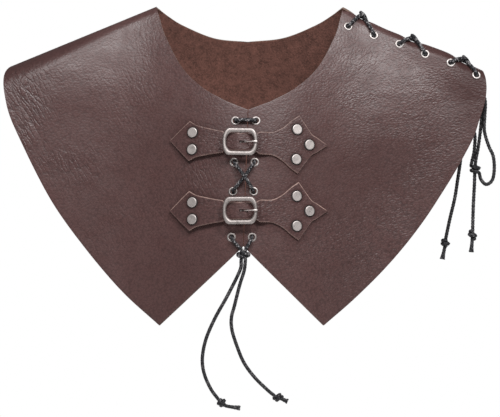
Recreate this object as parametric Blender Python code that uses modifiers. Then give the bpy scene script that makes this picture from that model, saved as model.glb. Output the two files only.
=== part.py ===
"""Laced leather shoulder armour: a one-piece shell and a right front panel, two buckled straps,
lacing down the front and along the right shoulder.

Metres, +Z up. The front faces -Y and +X is the viewer's right. The origin is the middle of the neck
opening at the height of the shoulder ridges, where the wearer carries the armour.
"""

import math

import bmesh
import bpy
import numpy as np
from mathutils import Matrix, Vector
from mathutils.bvhtree import BVHTree

# Leather panels, as seen from the front
leather_thickness = 0.0020
neck_half_left = 0.0966
neck_half_right = 0.1002
front_neck_drop = 0.1090
back_neck_drop = 0.0365
shoulder_reach_left = 0.2572
shoulder_reach_right = 0.2510
ridge_fall_left = 0.0632
ridge_fall_right = 0.0675
tip_drop = 0.3350
tip_offset_left = 0.0930
tip_offset_right = 0.0795
notch_drop = 0.2525
notch_shift = 0.0049
centre_gap = 0.0008
corner_dip = 0.0050
corner_dip_length = 0.0165
seam_half_gap = 0.0015

# How far the leather stands off the ridge, front to back
fold_radius_neck = 0.0075
fold_radius_left = 0.0220
fold_radius_right = 0.0115
chest_spread = 0.0950
back_spread = 0.0850
shoulder_spread = 0.0280
chest_width = 0.1150
spread_depth = 0.1100
ridge_blend = 0.0600
ridge_waves = ((0.1420, 0.0250, -0.0028), (0.2140, 0.0220, 0.0024))
pull_dip = 0.0028
pull_width = 0.0085
pull_depth = 0.0300
pull_column_offset = 0.0100

# Eyelets
eyelet_bore = 0.0052
eyelet_wall = 0.0005
eyelet_flange = 0.0088
eyelet_rise = 0.0008
hole_clearance = 0.0003
seat_gap = 0.0003
eyelet_inset_left = 0.0124
eyelet_inset_right = 0.0085
shoulder_eyelet_drops = (0.0182, 0.0131, 0.0105, 0.0107, 0.0094, 0.0082)

# Straps and their rivets
strap_thickness = 0.0016
neck_of_strap = 0.0180
buckle_shift = 0.0077
upper_strap_tilt = -0.030
lower_strap_tilt = 0.0
chape_length = 0.0734
chape_half_width = 0.0207
chape_return = 0.0560
billet_length = 0.0900
billet_half_width = 0.0303
billet_tip = 0.0175
rivet_cap = 0.0106
rivet_cap_height = 0.0016
rivet_shank = 0.0034
rivet_back_cap = 0.0090
rivet_back_height = 0.0009
chape_rivet_reach = 0.0492
chape_rivet_spread = 0.0088
billet_rivet_reach = 0.0580
billet_rivet_spread = 0.0156
billet_tip_rivet_reach = 0.0713

# Centre-bar buckles
frame_length = 0.0365
frame_height = 0.0290
frame_corner_across = 0.0068
frame_corner_up = 0.0125
window_corner_across = 0.0060
window_corner_up = 0.0088
side_bar_width = 0.0038
rail_width = 0.0047
frame_thickness = 0.0024
frame_edge_round = 0.0007
centre_bar_radius = 0.0010
tilt_clearance = 0.0012
tongue_radius = 0.0008
tongue_ring_wall = 0.0010
tongue_ring_width = 0.0024
tongue_slot_clearance = 0.0005
ring_clearance = 0.00025

# Cord
cord_diameter = 0.0036
cord_gap = 0.0003
cord_point_spacing = 0.0088
knot_length = 0.0150
knot_height = 0.0072
knot_below_notch = 0.0087
tip_knot_diameter = 0.0082
tip_knot_length = 0.0095
overrun = 0.0040

# Outlines, as shares of the sizes above: (across, down)
neckline_shares = (
    (0, 1), (0.16, 0.945), (0.265, 0.905), (0.50, 0.785), (0.725, 0.59), (0.90, 0.30), (0.965, 0.12), (1, 0),
)
back_neckline_shares = ((0, 1), (0.37, 0.89), (0.70, 0.54), (0.87, 0.27), (1, 0))
hem_left_shares = (
    (0, 1), (0.203, 0.912), (0.367, 0.824), (0.530, 0.724), (0.658, 0.636), (0.754, 0.555),
    (0.866, 0.445), (0.958, 0.345), (0.994, 0.271), (1, 0.232), (0.993, 0.210), (0.978, 0.197),
)
hem_right_shares = (
    (0, 1), (0.180, 0.920), (0.357, 0.832), (0.500, 0.749), (0.620, 0.668), (0.720, 0.590), (0.808, 0.517),
    (0.914, 0.417), (0.955, 0.357), (0.988, 0.304), (1, 0.262), (0.996, 0.228), (0.984, 0.207),
)
ridge_end_left_share = 0.974
ridge_end_right_share = 0.985
chape_outline_shares = (
    (0, 0.435), (0.205, 0.435), (0.245, 0.53), (0.35, 0.595),
    (0.49, 0.695), (0.62, 0.81), (0.714, 1), (1, 0.015),
)
billet_outline_shares = (
    (0, 0.297), (0.16, 0.297), (0.202, 0.355), (0.235, 0.385), (0.369, 0.40), (0.485, 0.57), (0.579, 0.81),
    (0.667, 1), (0.753, 0.634), (0.820, 0.366), (0.880, 0.257), (1, 0.012),
)


# Places down the centre opening, as shares of it from the neckline to the notch
front_eyelet_shares = (0.0822299651568, 0.3839721254355, 0.5979094076655, 0.9310104529617)
buckle_height_shares = (0.2439024390244, 0.7414634146341)

# Places along the right shoulder's ridge, as shares of it from the neck to its end
shoulder_eyelet_first_share = 0.0353657292481
shoulder_eyelet_pitch_share = 0.1836297480192
crossing_shares = (0.42, 0.64, 0.86)
tip_knot_shares = (0.0, 0.1, 0.3, 0.5, 0.7, 0.9, 1.0)

# Routes of the front cords, by hand along the photographed ends: (x, y, z from the front knot's middle)
front_left_route = (
    (-0.0085, -0.0970, -0.0163), (-0.0213, -0.0968, -0.0423), (-0.0347, -0.0962, -0.0664),
    (-0.0441, -0.0956, -0.0885), (-0.0477, -0.0950, -0.1084), (-0.0457, -0.0946, -0.1242),
    (-0.0389, -0.0942, -0.1399), (-0.0310, -0.0940, -0.1508),
)
front_left_tail = (
    (-0.0262, -0.0940, -0.1564), (-0.0205, -0.0940, -0.1583), (-0.0084, -0.0940, -0.1600),
)
front_right_route = (
    (-0.0040, -0.0970, -0.0163), (-0.0088, -0.0970, -0.0318), (-0.0141, -0.0968, -0.0528),
    (-0.0173, -0.0965, -0.0654), (-0.0168, -0.0960, -0.0780), (-0.0121, -0.0956, -0.0937),
    (-0.0042, -0.0952, -0.1126), (0.0074, -0.0948, -0.1284), (0.0210, -0.0944, -0.1416),
    (0.0276, -0.0942, -0.1470),
)
front_right_tail = (
    (0.0318, -0.0942, -0.1490), (0.0360, -0.0942, -0.1508), (0.0412, -0.0942, -0.1530),
)

# Routes of the side cords, by hand too: (x from the right shoulder's end, y, z)
side_front_route = (
    (-0.002235, -0.0034, -0.0850), (0.001165, -0.0028, -0.0930), (0.002765, -0.0026, -0.1020),
    (0.002165, -0.0026, -0.1150), (0.001765, -0.0026, -0.1310), (0.006265, -0.0026, -0.1466),
    (0.011065, -0.0020, -0.1575), (0.012165, -0.0010, -0.1712), (0.010065, 0.0000, -0.1827),
    (0.003765, 0.0014, -0.1872), (-0.001735, 0.0030, -0.1820),
)
hitch_centre = (-0.007935, 0.0010, -0.1712)
hitch_radius = 0.0043
hitch_rise = 0.0072
hitch_turns = 1.5
side_front_return = (
    (-0.011035, 0.0046, -0.1620), (-0.008735, 0.0058, -0.1512), (-0.008435, 0.0060, -0.1334),
    (-0.015235, 0.0060, -0.1239), (-0.020935, 0.0058, -0.1407), (-0.023535, 0.0052, -0.1638),
    (-0.026035, 0.0046, -0.1806), (-0.029335, 0.0040, -0.2016), (-0.034535, 0.0036, -0.2237),
    (-0.038835, 0.0034, -0.2440),
)
side_front_tail = (
    (-0.039235, 0.0034, -0.2502), (-0.040435, 0.0034, -0.2560), (-0.042435, 0.0034, -0.2657),
)
side_back_route = (
    (-0.004235, 0.0038, -0.0850), (-0.001235, 0.0028, -0.0950), (-0.000635, 0.0024, -0.1100),
    (-0.002435, 0.0022, -0.1313), (-0.004835, 0.0016, -0.1491), (-0.007235, 0.0012, -0.1617),
    (-0.008235, 0.0010, -0.1743), (-0.008835, 0.0010, -0.1900), (-0.009935, 0.0010, -0.2121),
    (-0.010535, 0.0010, -0.2355),
)
side_back_tail = (
    (-0.010835, 0.0010, -0.2418), (-0.011135, 0.0010, -0.2475), (-0.012035, 0.0010, -0.2583),
)

# Counts of facets
neck_columns = 8
shoulder_columns_left = 9
ridge_crowding = 1.3
hem_crowding = 1.6
panel_rows = 11
strap_rows = 2
round_steps = 10
corner_steps = 4

PART_NAME = "faux_leather_shoulder_armour"
LEFT = -1
RIGHT = 1
FRONT = -1
BACK = 1


def clear_scene():
    """Takes away whatever the file starts with."""
    for item in list(bpy.data.objects):
        bpy.data.objects.remove(item, do_unlink=True)


def new_collection(name):
    """A collection in the scene."""
    group = bpy.data.collections.new(name)
    bpy.context.scene.collection.children.link(group)
    return group


def material(name, colour, roughness, metallic):
    """A plain Principled material."""
    made = bpy.data.materials.new(name)
    made.use_nodes = True
    shader = made.node_tree.nodes["Principled BSDF"]
    shader.inputs["Base Color"].default_value = (*colour, 1.0)
    shader.inputs["Roughness"].default_value = roughness
    shader.inputs["Metallic"].default_value = metallic
    return made


def ease(share):
    """A smooth step from 0 to 1."""
    share = min(1.0, max(0.0, share))
    return share * share * (3 - 2 * share)


def mix(first, second, share):
    """The value that lies that share of the way from first to second."""
    return first + (second - first) * share


def smooth_polyline(points, places):
    """Points on a smooth curve through the given points: a count of even ones, or shares of its length."""
    knots = np.array([tuple(p) for p in points], float)
    ends = np.concatenate([[2 * knots[0] - knots[1]], knots, [2 * knots[-1] - knots[-2]]])
    fine = []
    for i in range(len(knots) - 1):
        a, b, c, d = ends[i], ends[i + 1], ends[i + 2], ends[i + 3]
        square = 2 * a - 5 * b + 4 * c - d
        cube = 3 * b - a - 3 * c + d
        for u in np.linspace(0, 1, 16, endpoint=False):
            fine.append(0.5 * (2 * b + (c - a) * u + square * u**2 + cube * u**3))
    fine.append(knots[-1])
    return straight_polyline(fine, places)


def straight_polyline(points, places):
    """Points on the straight runs between given points: a count of even ones, or shares of their length."""
    line = np.array([tuple(p) for p in points], float)
    along = np.concatenate([[0], np.cumsum(np.linalg.norm(np.diff(line, axis=0), axis=1))])
    shares = np.linspace(0, 1, places) if isinstance(places, int) else np.array(places)
    at = along[-1] * shares
    return np.stack([np.interp(at, along, line[:, k]) for k in range(line.shape[1])], axis=1)


def polyline_length(points):
    """The length of the straight runs between the points."""
    line = np.array([tuple(p) for p in points], float)
    return float(np.linalg.norm(np.diff(line, axis=0), axis=1).sum())


def table_value(table, share):
    """The value of a table of (place, value) shares at a place."""
    places, values = zip(*table)
    return float(np.interp(share, places, values))


# The surface that the leather follows


def ridge_end(side):
    """How far out the shoulder ridge ends."""
    if side == LEFT:
        return shoulder_reach_left * ridge_end_left_share
    return shoulder_reach_right * ridge_end_right_share


def neck_half(side):
    """How far out the ridge starts beside the neck."""
    return neck_half_left if side == LEFT else neck_half_right


def ridge_slope(side):
    """How steeply the shoulder ridge falls outwards."""
    fall = ridge_fall_left if side == LEFT else ridge_fall_right
    return fall / (ridge_end(side) - neck_half(side))


def shoulder_eyelet_places():
    """X of each shoulder eyelet."""
    start = neck_half(RIGHT)
    places = []
    for i in range(len(shoulder_eyelet_drops)):
        share = shoulder_eyelet_first_share + i * shoulder_eyelet_pitch_share
        places.append(mix(start, ridge_end(RIGHT), share))
    return places


def crossing_places():
    """X of each place where the shoulder lace crosses the ridge."""
    places = shoulder_eyelet_places()
    return [(places[i] + places[i + 1]) / 2 for i in range(0, len(shoulder_eyelet_drops), 2)]


def ridge_height(x):
    """Height of the smooth ridge line, which runs on as a low dome over the neck opening."""
    side = LEFT if x < 0 else RIGHT
    slope = ridge_slope(side)
    neck = neck_half(side)
    out = abs(x)
    wave = 0.0
    if side == RIGHT:
        wave = sum(rise * math.exp(-(((x - place) / width) ** 2)) for place, width, rise in ridge_waves)
    if out >= ridge_blend:
        return slope * (neck - out) + wave
    mean = (ridge_slope(LEFT) + ridge_slope(RIGHT)) / 2
    slope = mix(mean, slope, out / ridge_blend)
    neck = mix((neck_half_left + neck_half_right) / 2, neck, out / ridge_blend)
    return slope * (neck - ridge_blend) + slope * (ridge_blend**2 - out**2) / (2 * ridge_blend) + wave


def pull(x, drop):
    """How far the laces pull the leather down near a crossing."""
    near = sum(math.exp(-(((x - place) / pull_width) ** 2)) for place in crossing_places())
    return pull_dip * near * math.exp(-max(drop, 0.0) / pull_depth)


def fold_radius(x):
    """Radius of the fold over the ridge."""
    side = LEFT if x < 0 else RIGHT
    end = fold_radius_left if side == LEFT else fold_radius_right
    share = (abs(x) - neck_half(side)) / (ridge_end(side) - neck_half(side))
    return mix(fold_radius_neck, end, ease(share))


def stand_off(x, drop, face):
    """How far the outer face lies from the ridge's plane, at a drop below the ridge."""
    spread = chest_spread if face == FRONT else back_spread
    spread = mix(shoulder_spread, spread, math.exp(-((x / chest_width) ** 2)))
    radius = fold_radius(x)
    drop = max(drop, 0.0)
    rounded = 1 - min(drop, radius) / radius
    return radius * math.sqrt(max(0.0, 1 - rounded**2)) + spread * (1 - math.exp(-drop / spread_depth))


def outer_point(x, drop, face, lift=0.0):
    """A point on the outer face, or lifted off it, at x and a drop below the ridge."""
    step = leather_thickness / 4
    place = Vector((x, face * stand_off(x, drop, face), ridge_height(x) - drop - pull(x, drop)))
    if lift:
        place += lift * outer_normal(x, drop, face, step)
    return place


def outer_normal(x, drop, face, step=leather_thickness / 4):
    """The direction out of the leather's outer face."""
    low = max(drop - step, 0.0)
    down = outer_point(x, drop + step, face) - outer_point(x, low, face)
    across = outer_point(x + step, drop, face) - outer_point(x - step, drop, face)
    normal = across.cross(down) if face == BACK else down.cross(across)
    return normal.normalized()


def drop_of_height(x, z, face=FRONT):
    """The drop below the ridge at which the outer face has height z."""
    drop = ridge_height(x) - z
    for _ in range(8):
        drop = ridge_height(x) - z - pull(x, drop)
    return max(drop, 0.0)


def arc_of_drop(x, drop, face):
    """The distance along the leather from the ridge to a drop below it."""
    line = [outer_point(x, drop * i / 24, face) for i in range(25)]
    return sum((b - a).length for a, b in zip(line, line[1:]))


def drop_of_arc(x, arc, face):
    """The drop below the ridge at a distance along the leather from the ridge."""
    gone = 0.0
    drop = 0.0
    step = fold_radius_neck / 40
    last = outer_point(x, 0.0, face)
    while gone < arc:
        drop += step
        place = outer_point(x, drop, face)
        gone += (place - last).length
        last = place
    return drop


def local_frame(x, drop, face):
    """A matrix at a place on the outer face: X across, Y up along the leather, Z out of it."""
    place = outer_point(x, drop, face)
    out = outer_normal(x, drop, face)
    across = Vector((-face, 0, 0))
    across = (across - out * across.dot(out)).normalized()
    up = out.cross(across)
    made = Matrix((across, up, out)).transposed().to_4x4()
    made.translation = place
    return made


# Meshes


def finish_object(name, mesh, group, look, smooth_angle=math.radians(35)):
    """Links a mesh as one named part."""
    made = bpy.data.objects.new(name, mesh)
    group.objects.link(made)
    mesh.materials.append(look)
    mesh.shade_smooth()
    mesh.set_sharp_from_angle(angle=smooth_angle)
    return made


def evaluated_mesh(item):
    """The item as a welded mesh object that takes the item's place."""
    bpy.context.view_layer.update()
    mesh = bpy.data.meshes.new_from_object(item.evaluated_get(bpy.context.evaluated_depsgraph_get()))
    place = item.matrix_world.copy()
    name = item.name
    group = item.users_collection[0]
    bpy.data.objects.remove(item, do_unlink=True)
    welded = bmesh.new()
    welded.from_mesh(mesh)
    bmesh.ops.remove_doubles(welded, verts=welded.verts, dist=ring_clearance / 100)
    bmesh.ops.recalc_face_normals(welded, faces=welded.faces)
    welded.to_mesh(mesh)
    welded.free()
    made = bpy.data.objects.new(name, mesh)
    made.matrix_world = place
    group.objects.link(made)
    return made


def boolean(item, cutter, operation):
    """Cuts the item with a cutter, or joins it to one."""
    cutter.hide_render = True
    cutter.display_type = "WIRE"
    step = item.modifiers.new(operation.lower(), "BOOLEAN")
    step.operation = operation
    step.object = cutter
    return step


def apply_modifiers(item):
    """Makes the modifiers' result the item's own mesh."""
    bpy.context.view_layer.update()
    mesh = bpy.data.meshes.new_from_object(item.evaluated_get(bpy.context.evaluated_depsgraph_get()))
    item.modifiers.clear()
    item.data = mesh


def hole_cutters(name, frames, diameter, reach, cutters):
    """One cutter object with a cylinder at each frame, square to the leather."""
    mesh = bpy.data.meshes.new(name)
    drills = bmesh.new()
    for frame in frames:
        bmesh.ops.create_cone(
            drills, cap_ends=True, segments=round_steps, radius1=diameter / 2, radius2=diameter / 2,
            depth=2 * reach, matrix=frame,
        )
    drills.to_mesh(mesh)
    drills.free()
    made = bpy.data.objects.new(name, mesh)
    cutters.objects.link(made)
    return made


def solidify(item, thickness, offset):
    """Gives an open surface its thickness."""
    step = item.modifiers.new("thickness", "SOLIDIFY")
    step.thickness = thickness
    step.offset = offset
    return step


def grid_faces(bm, rows):
    """Faces between rows of points, whose equal points become one vertex."""
    found = {}
    table = []
    for row in rows:
        line = []
        for point in row:
            key = tuple(round(c / (ring_clearance / 50)) for c in point)
            if key not in found:
                found[key] = bm.verts.new(point)
            line.append(found[key])
        table.append(line)
    for upper, lower in zip(table, table[1:]):
        for i in range(len(upper) - 1):
            corners = []
            for vertex in (upper[i], lower[i], lower[i + 1], upper[i + 1]):
                if vertex not in corners:
                    corners.append(vertex)
            if len(corners) > 2 and not bm.faces.get(corners):
                bm.faces.new(corners)


# The panels' outlines, as points of x and height in the front view


def scaled(shares, side, across, down, start=0.0):
    """A table of shares as points of x and z."""
    return [(side * (start + a * across), -d * down) for a, d in shares]


def seam_dip(x):
    """How far the right front panel's edge lies below the ridge."""
    out = (x - neck_half_right) / corner_dip_length
    dip = corner_dip * max(0.0, 1 - max(0.0, out)) ** 2
    return dip


def neck_top(side, face):
    """The neckline from the centre out to the neck corner, as (x, drop)."""
    shares = neckline_shares if face == FRONT else back_neckline_shares
    down = front_neck_drop if face == FRONT else back_neck_drop
    line = smooth_polyline(scaled(shares, side, neck_half(side), down), neck_columns + 1)
    points = []
    for i, (x, z) in enumerate(line):
        x += centre_shift(z, side) * (1 - i / neck_columns) if face == FRONT else 0
        lowest = edge_drop(x, side, face) if i == neck_columns else 0.0
        points.append((x, max(drop_of_height(x, z), lowest)))
    return points


def centre_shift(z, side):
    """X of the centre opening's edge, which leans a little to the left as it goes down."""
    share = (-z - front_neck_drop) / (notch_drop - front_neck_drop)
    return side * centre_gap / 2 - notch_shift * share


def edge_drop(x, side, face):
    """How far below the ridge line a panel's top edge lies along the shoulder."""
    if side == LEFT:
        return 0.0
    gap = drop_of_arc(x, seam_half_gap, face)
    return max(gap, seam_dip(x)) if face == FRONT else gap


def shoulder_top(side, face):
    """The top edge from the neck corner to the shoulder's end, as (x, drop)."""
    return [(x, edge_drop(x, side, face)) for x in shoulder_places(side)]


def shoulder_places(side):
    """X of each column along a shoulder, on the right with columns at the laces' crossings."""
    if side == LEFT:
        shares = crowded_shares(side, ridge_crowding)
        return [side * mix(neck_half(side), ridge_end(side), share) for share in shares]
    crossings = crossing_places()
    places = [neck_half(side), ridge_end(side)]
    for place in crossings:
        places += [place - pull_column_offset, place, place + pull_column_offset]
    places += [(first + second) / 2 for first, second in zip(crossings, crossings[1:])]
    return sorted(places)


def crowded_shares(side, crowding):
    """Shares from 0 to 1 that come closer together towards the shoulder's end."""
    count = shoulder_columns_left if side == LEFT else len(shoulder_places(side)) - 1
    return [1 - (1 - i / count) ** crowding for i in range(count + 1)]


def notch_bottom(side, face):
    """The lower inner edge from the centre to the tip, as (x, z)."""
    shift = centre_shift(-notch_drop, side) if face == FRONT else -notch_shift
    tip = side * (tip_offset_left if side == LEFT else tip_offset_right)
    return straight_polyline([(shift, -notch_drop), (tip, -tip_drop)], neck_columns + 1)


def hem_bottom(side, face):
    """The outer edge from the tip round to the shoulder's end, as (x, z)."""
    shares = hem_left_shares if side == LEFT else hem_right_shares
    start = tip_offset_left if side == LEFT else tip_offset_right
    reach = shoulder_reach_left if side == LEFT else shoulder_reach_right
    points = scaled(shares, side, reach - start, tip_drop, start)
    end = side * ridge_end(side)
    points.append((end, outer_point(end, edge_drop(end, side, face), face).z))
    return smooth_polyline(points, crowded_shares(side, hem_crowding))


def panel_column(top, bottom, face, tightness):
    """Points down one column, close together where the leather turns over the ridge."""
    x_top, drop_top = top
    x_low, z_low = bottom
    drop_low = drop_of_height(x_low, z_low)
    points = []
    for j in range(panel_rows + 1):
        share = (j / panel_rows) ** tightness
        x = mix(x_top, x_low, share)
        drop = mix(drop_top, drop_low, share)
        points.append(outer_point(x, drop, face))
    return points


def half_panel(side, face):
    """Columns of one side of the front or the back, from the centre to the shoulder's end."""
    tops = neck_top(side, face)[:-1] + shoulder_top(side, face)
    bottoms = [tuple(p) for p in notch_bottom(side, face)[:-1]] + [tuple(p) for p in hem_bottom(side, face)]
    columns = []
    for i, (top, bottom) in enumerate(zip(tops, bottoms)):
        tightness = mix(1.0, 1.9, ease(i / neck_columns))
        columns.append(panel_column(top, bottom, face, tightness))
    return columns


def shell_surface(name, columns_of_faces):
    """An open surface from lists of columns, with its faces looking outwards."""
    mesh = bpy.data.meshes.new(name)
    bm = bmesh.new()
    for columns in columns_of_faces:
        grid_faces(bm, columns)
    bmesh.ops.remove_doubles(bm, verts=bm.verts, dist=ring_clearance / 20)
    bmesh.ops.recalc_face_normals(bm, faces=bm.faces)
    bm.faces.ensure_lookup_table()
    front = min(bm.faces, key=lambda f: f.calc_center_median().y)
    if front.normal.y > 0:
        bmesh.ops.reverse_faces(bm, faces=bm.faces)
    bm.to_mesh(mesh)
    bm.free()
    return mesh


# Places of the fittings


def opening_drop(share):
    """How far below the ridge a place down the centre opening lies, at a share of its length."""
    return mix(front_neck_drop, notch_drop, share)


front_eyelet_drops = tuple(opening_drop(share) for share in front_eyelet_shares)
knot_drop = notch_drop + knot_below_notch


def front_eyelet_frames(side):
    """Places of the eyelets down one side of the centre opening."""
    inset = eyelet_inset_left if side == LEFT else eyelet_inset_right
    frames = []
    for drop in front_eyelet_drops:
        x = centre_shift(-drop, side) + side * inset
        frames.append((x, drop_of_height(x, -drop), FRONT))
    return frames


def shoulder_eyelet_frames(face):
    """Places of the eyelets along one edge of the right shoulder."""
    frames = []
    for x, drop in zip(shoulder_eyelet_places(), shoulder_eyelet_drops):
        frames.append((x, drop, face))
    return frames


def strap_point(buckle, along, across, lift=0.0):
    """A place on the front, measured along and across a strap from its buckle's bar."""
    height, tilt = buckle
    x = -buckle_shift + along * math.cos(tilt) - across * math.sin(tilt)
    z = height + along * math.sin(tilt) + across * math.cos(tilt)
    return outer_point(x, drop_of_height(x, z), FRONT, lift)


def strap_frame(buckle, along, across):
    """The local frame at a place on a strap's line."""
    height, tilt = buckle
    x = -buckle_shift + along * math.cos(tilt) - across * math.sin(tilt)
    z = height + along * math.sin(tilt) + across * math.cos(tilt)
    return local_frame(x, drop_of_height(x, z), FRONT) @ Matrix.Rotation(tilt, 4, "Z")


buckles = {
    "upper": (-opening_drop(buckle_height_shares[0]), upper_strap_tilt),
    "lower": (-opening_drop(buckle_height_shares[1]), lower_strap_tilt),
}

# Levels above the leather, worked out from the stack at each buckle
lower_level = seat_gap + strap_thickness / 2
bar_level = 2 * seat_gap + strap_thickness + centre_bar_radius
wrap_radius = centre_bar_radius + seat_gap + strap_thickness / 2
upper_level = bar_level + wrap_radius
double_level = lower_level + strap_thickness + seat_gap
billet_top_level = upper_level + strap_thickness + seat_gap
frame_bottom = double_level + 1.5 * strap_thickness + 2 * seat_gap + tilt_clearance + strap_thickness / 2
frame_top = frame_bottom + frame_thickness
side_bar_middle = (frame_length - side_bar_width) / 2
window_half_length = frame_length / 2 - side_bar_width


def chape_level(distance):
    """Height of the upper chape layer's middle at a distance from the bar."""
    ramp = (distance - centre_bar_radius) / (window_half_length - centre_bar_radius)
    level = mix(upper_level, double_level, ease(ramp))
    end = (distance - chape_return) / (chape_length - chape_return)
    return mix(level, lower_level, max(0.0, end))


def billet_level(along):
    """Height of the billet's middle along the strap, positive to the right of the bar."""
    if along < 0:
        return chape_level(-along) + (strap_thickness + seat_gap) * 1.06
    under_bar = frame_bottom - tilt_clearance - seat_gap - 1.6 * strap_thickness
    first = (along - centre_bar_radius) / (window_half_length - centre_bar_radius)
    level = mix(billet_top_level, under_bar, ease(first))
    second = (along - side_bar_middle) / side_bar_middle
    return mix(level, lower_level, ease(second))


def chape_path():
    """(distance left of the bar, level, half width) down the lower layer, round the bar and back."""
    path = []
    half = neck_of_strap / 2
    for share in (1.0, 0.93, 0.78, 0.62, 0.46, 0.30, 0.14):
        path.append((-chape_return * share, lower_level, half * (0.55 if share == 1.0 else 1.0)))
    for turn in range(7):
        angle = math.radians(-90 + 30 * turn)
        path.append((wrap_radius * math.cos(angle), bar_level + wrap_radius * math.sin(angle), half))
    for share in (0.04, 0.09, 0.14, 0.19, 0.245, 0.35, 0.49, 0.56, 0.62, 0.67, 0.714, 0.80, 0.90, 1.0):
        distance = chape_length * share
        width = chape_half_width * table_value(chape_outline_shares, share)
        path.append((-distance, chape_level(distance), width))
    return path


def billet_path():
    """(distance from the bar, level, half width) from the hidden tip to the stepped point."""
    half = neck_of_strap / 2
    path = []
    for share, width in ((1.0, 0.45), (0.85, 0.85), (0.65, 1.0), (0.45, 1.0), (0.25, 1.0), (0.1, 1.0)):
        path.append((-billet_tip * share, billet_level(-billet_tip * share), half * width))
    for share in (0.015, 0.04, 0.065, 0.09, 0.115, 0.14, 0.17, 0.202, 0.235, 0.27, 0.32, 0.369, 0.43, 0.485,
                  0.535, 0.579, 0.625, 0.667, 0.71, 0.753, 0.79, 0.82, 0.88, 0.94, 1.0):
        along = billet_length * share
        width = billet_half_width * table_value(billet_outline_shares, share)
        path.append((along, billet_level(along), width))
    return path


def strap_object(name, buckle, path, group, look):
    """A ribbon of leather along a path of levels and half widths."""
    rows = []
    for along, level, half in path:
        row = []
        for i in range(strap_rows + 1):
            across = half * (1 - 2 * i / strap_rows)
            row.append(strap_point(buckle, along, across, level))
        rows.append(row)
    mesh = bpy.data.meshes.new(name)
    bm = bmesh.new()
    grid_faces(bm, rows)
    bm.to_mesh(mesh)
    bm.free()
    made = finish_object(name, mesh, group, look)
    solidify(made, strap_thickness, 0)
    return made


def box_cutter(name, frame, low, high, cutters):
    """A box between two corners of a local frame."""
    mesh = bpy.data.meshes.new(name)
    bm = bmesh.new()
    size = [h - l for l, h in zip(low, high)]
    middle = [(h + l) / 2 for l, h in zip(low, high)]
    bmesh.ops.create_cube(bm, size=1, matrix=frame @ Matrix.Translation(middle) @ Matrix.Diagonal((*size, 1)))
    bm.to_mesh(mesh)
    bm.free()
    made = bpy.data.objects.new(name, mesh)
    cutters.objects.link(made)
    return made


def turned(name, profile, frame, group, look, closed):
    """A profile at +X turned round a local Z axis."""
    mesh = bpy.data.meshes.new(name)
    edges = [(i, i + 1) for i in range(len(profile) - 1)]
    if closed:
        edges.append((len(profile) - 1, 0))
    mesh.from_pydata([(x, 0, z) for x, z in profile], edges, [])
    made = bpy.data.objects.new(name, mesh)
    group.objects.link(made)
    mesh.materials.append(look)
    made.matrix_world = frame
    step = made.modifiers.new("turn", "SCREW")
    step.axis = "Z"
    step.angle = 2 * math.pi
    step.steps = round_steps
    step.render_steps = round_steps
    step.use_merge_vertices = True
    step.merge_threshold = ring_clearance / 100
    step.use_smooth_shade = True
    return made


def surface_tree(item):
    """The item's evaluated faces, to find where a fitting touches them."""
    bpy.context.view_layer.update()
    return BVHTree.FromObject(item, bpy.context.evaluated_depsgraph_get())


def touch_level(trees, frame, radius, from_above):
    """The level in a local frame at which a flat disc first touches the faces, from above or below."""
    sign = 1 if from_above else -1
    levels = []
    for share in (0.0, 0.5, 1.0):
        for turn in range(round_steps + 2):
            angle = 2 * math.pi * turn / (round_steps + 2)
            out = share * radius
            start = Vector((out * math.cos(angle), out * math.sin(angle), sign * overrun * 3))
            down = frame.to_3x3() @ Vector((0, 0, -sign))
            for tree in trees:
                hit = tree.ray_cast(frame @ start, down, overrun * 6)[0]
                if hit is not None:
                    levels.append((frame.inverted() @ hit).z)
    return max(levels) if from_above else min(levels)


def eyelet(name, place, top, bottom, group, look):
    """A rolled eyelet through the leather, between the levels of its outer and inner faces."""
    bore = eyelet_bore / 2
    barrel = bore + eyelet_wall
    flange = eyelet_flange / 2
    profile = (
        ((barrel + flange) / 2, top + eyelet_rise),
        (flange, top + seat_gap),
        (barrel, top + seat_gap),
        (barrel, bottom - seat_gap),
        (flange - eyelet_wall, bottom - seat_gap),
        (bore, bottom - eyelet_rise),
        (bore, top + eyelet_rise * 0.7),
    )
    return turned(name, profile, local_frame(*place), group, look, True)


def rivet(name, frame, top, bottom, group, look):
    """A double-cap rivet through a strap and the leather."""
    cap = rivet_cap / 2
    shank = rivet_shank / 2
    back_cap = rivet_back_cap / 2
    seat = top + seat_gap
    back = bottom - seat_gap
    profile = (
        (0, seat + rivet_cap_height),
        (cap * 0.86, seat + rivet_cap_height * 0.92),
        (cap, seat + rivet_cap_height * 0.45),
        (cap, seat),
        (shank, seat),
        (shank, back),
        (back_cap, back),
        (back_cap * 0.85, back - rivet_back_height),
        (0, back - rivet_back_height),
    )
    return turned(name, profile, frame, group, look, False)


def rounded_rectangle(length, height, across, up):
    """Points round a rectangle with round corners."""
    points = []
    for turn, (sx, sy) in enumerate(((1, 1), (-1, 1), (-1, -1), (1, -1))):
        for step in range(corner_steps + 1):
            angle = math.pi / 2 * (turn + step / corner_steps)
            x = sx * (length / 2 - across) + across * math.cos(angle)
            y = sy * (height / 2 - up) + up * math.sin(angle)
            points.append((x, y))
    return points


def flat_ring(name, outlines, thickness, group):
    """A flat plate from closed outlines, the second of which is its window."""
    curve = bpy.data.curves.new(name, "CURVE")
    curve.dimensions = "2D"
    curve.fill_mode = "BOTH"
    curve.extrude = thickness / 2
    for outline in outlines:
        spline = curve.splines.new("POLY")
        spline.points.add(len(outline) - 1)
        for point, (x, y) in zip(spline.points, outline):
            point.co = (x, y, 0, 1)
        spline.use_cyclic_u = True
    made = bpy.data.objects.new(name, curve)
    group.objects.link(made)
    return evaluated_mesh(made)


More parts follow.
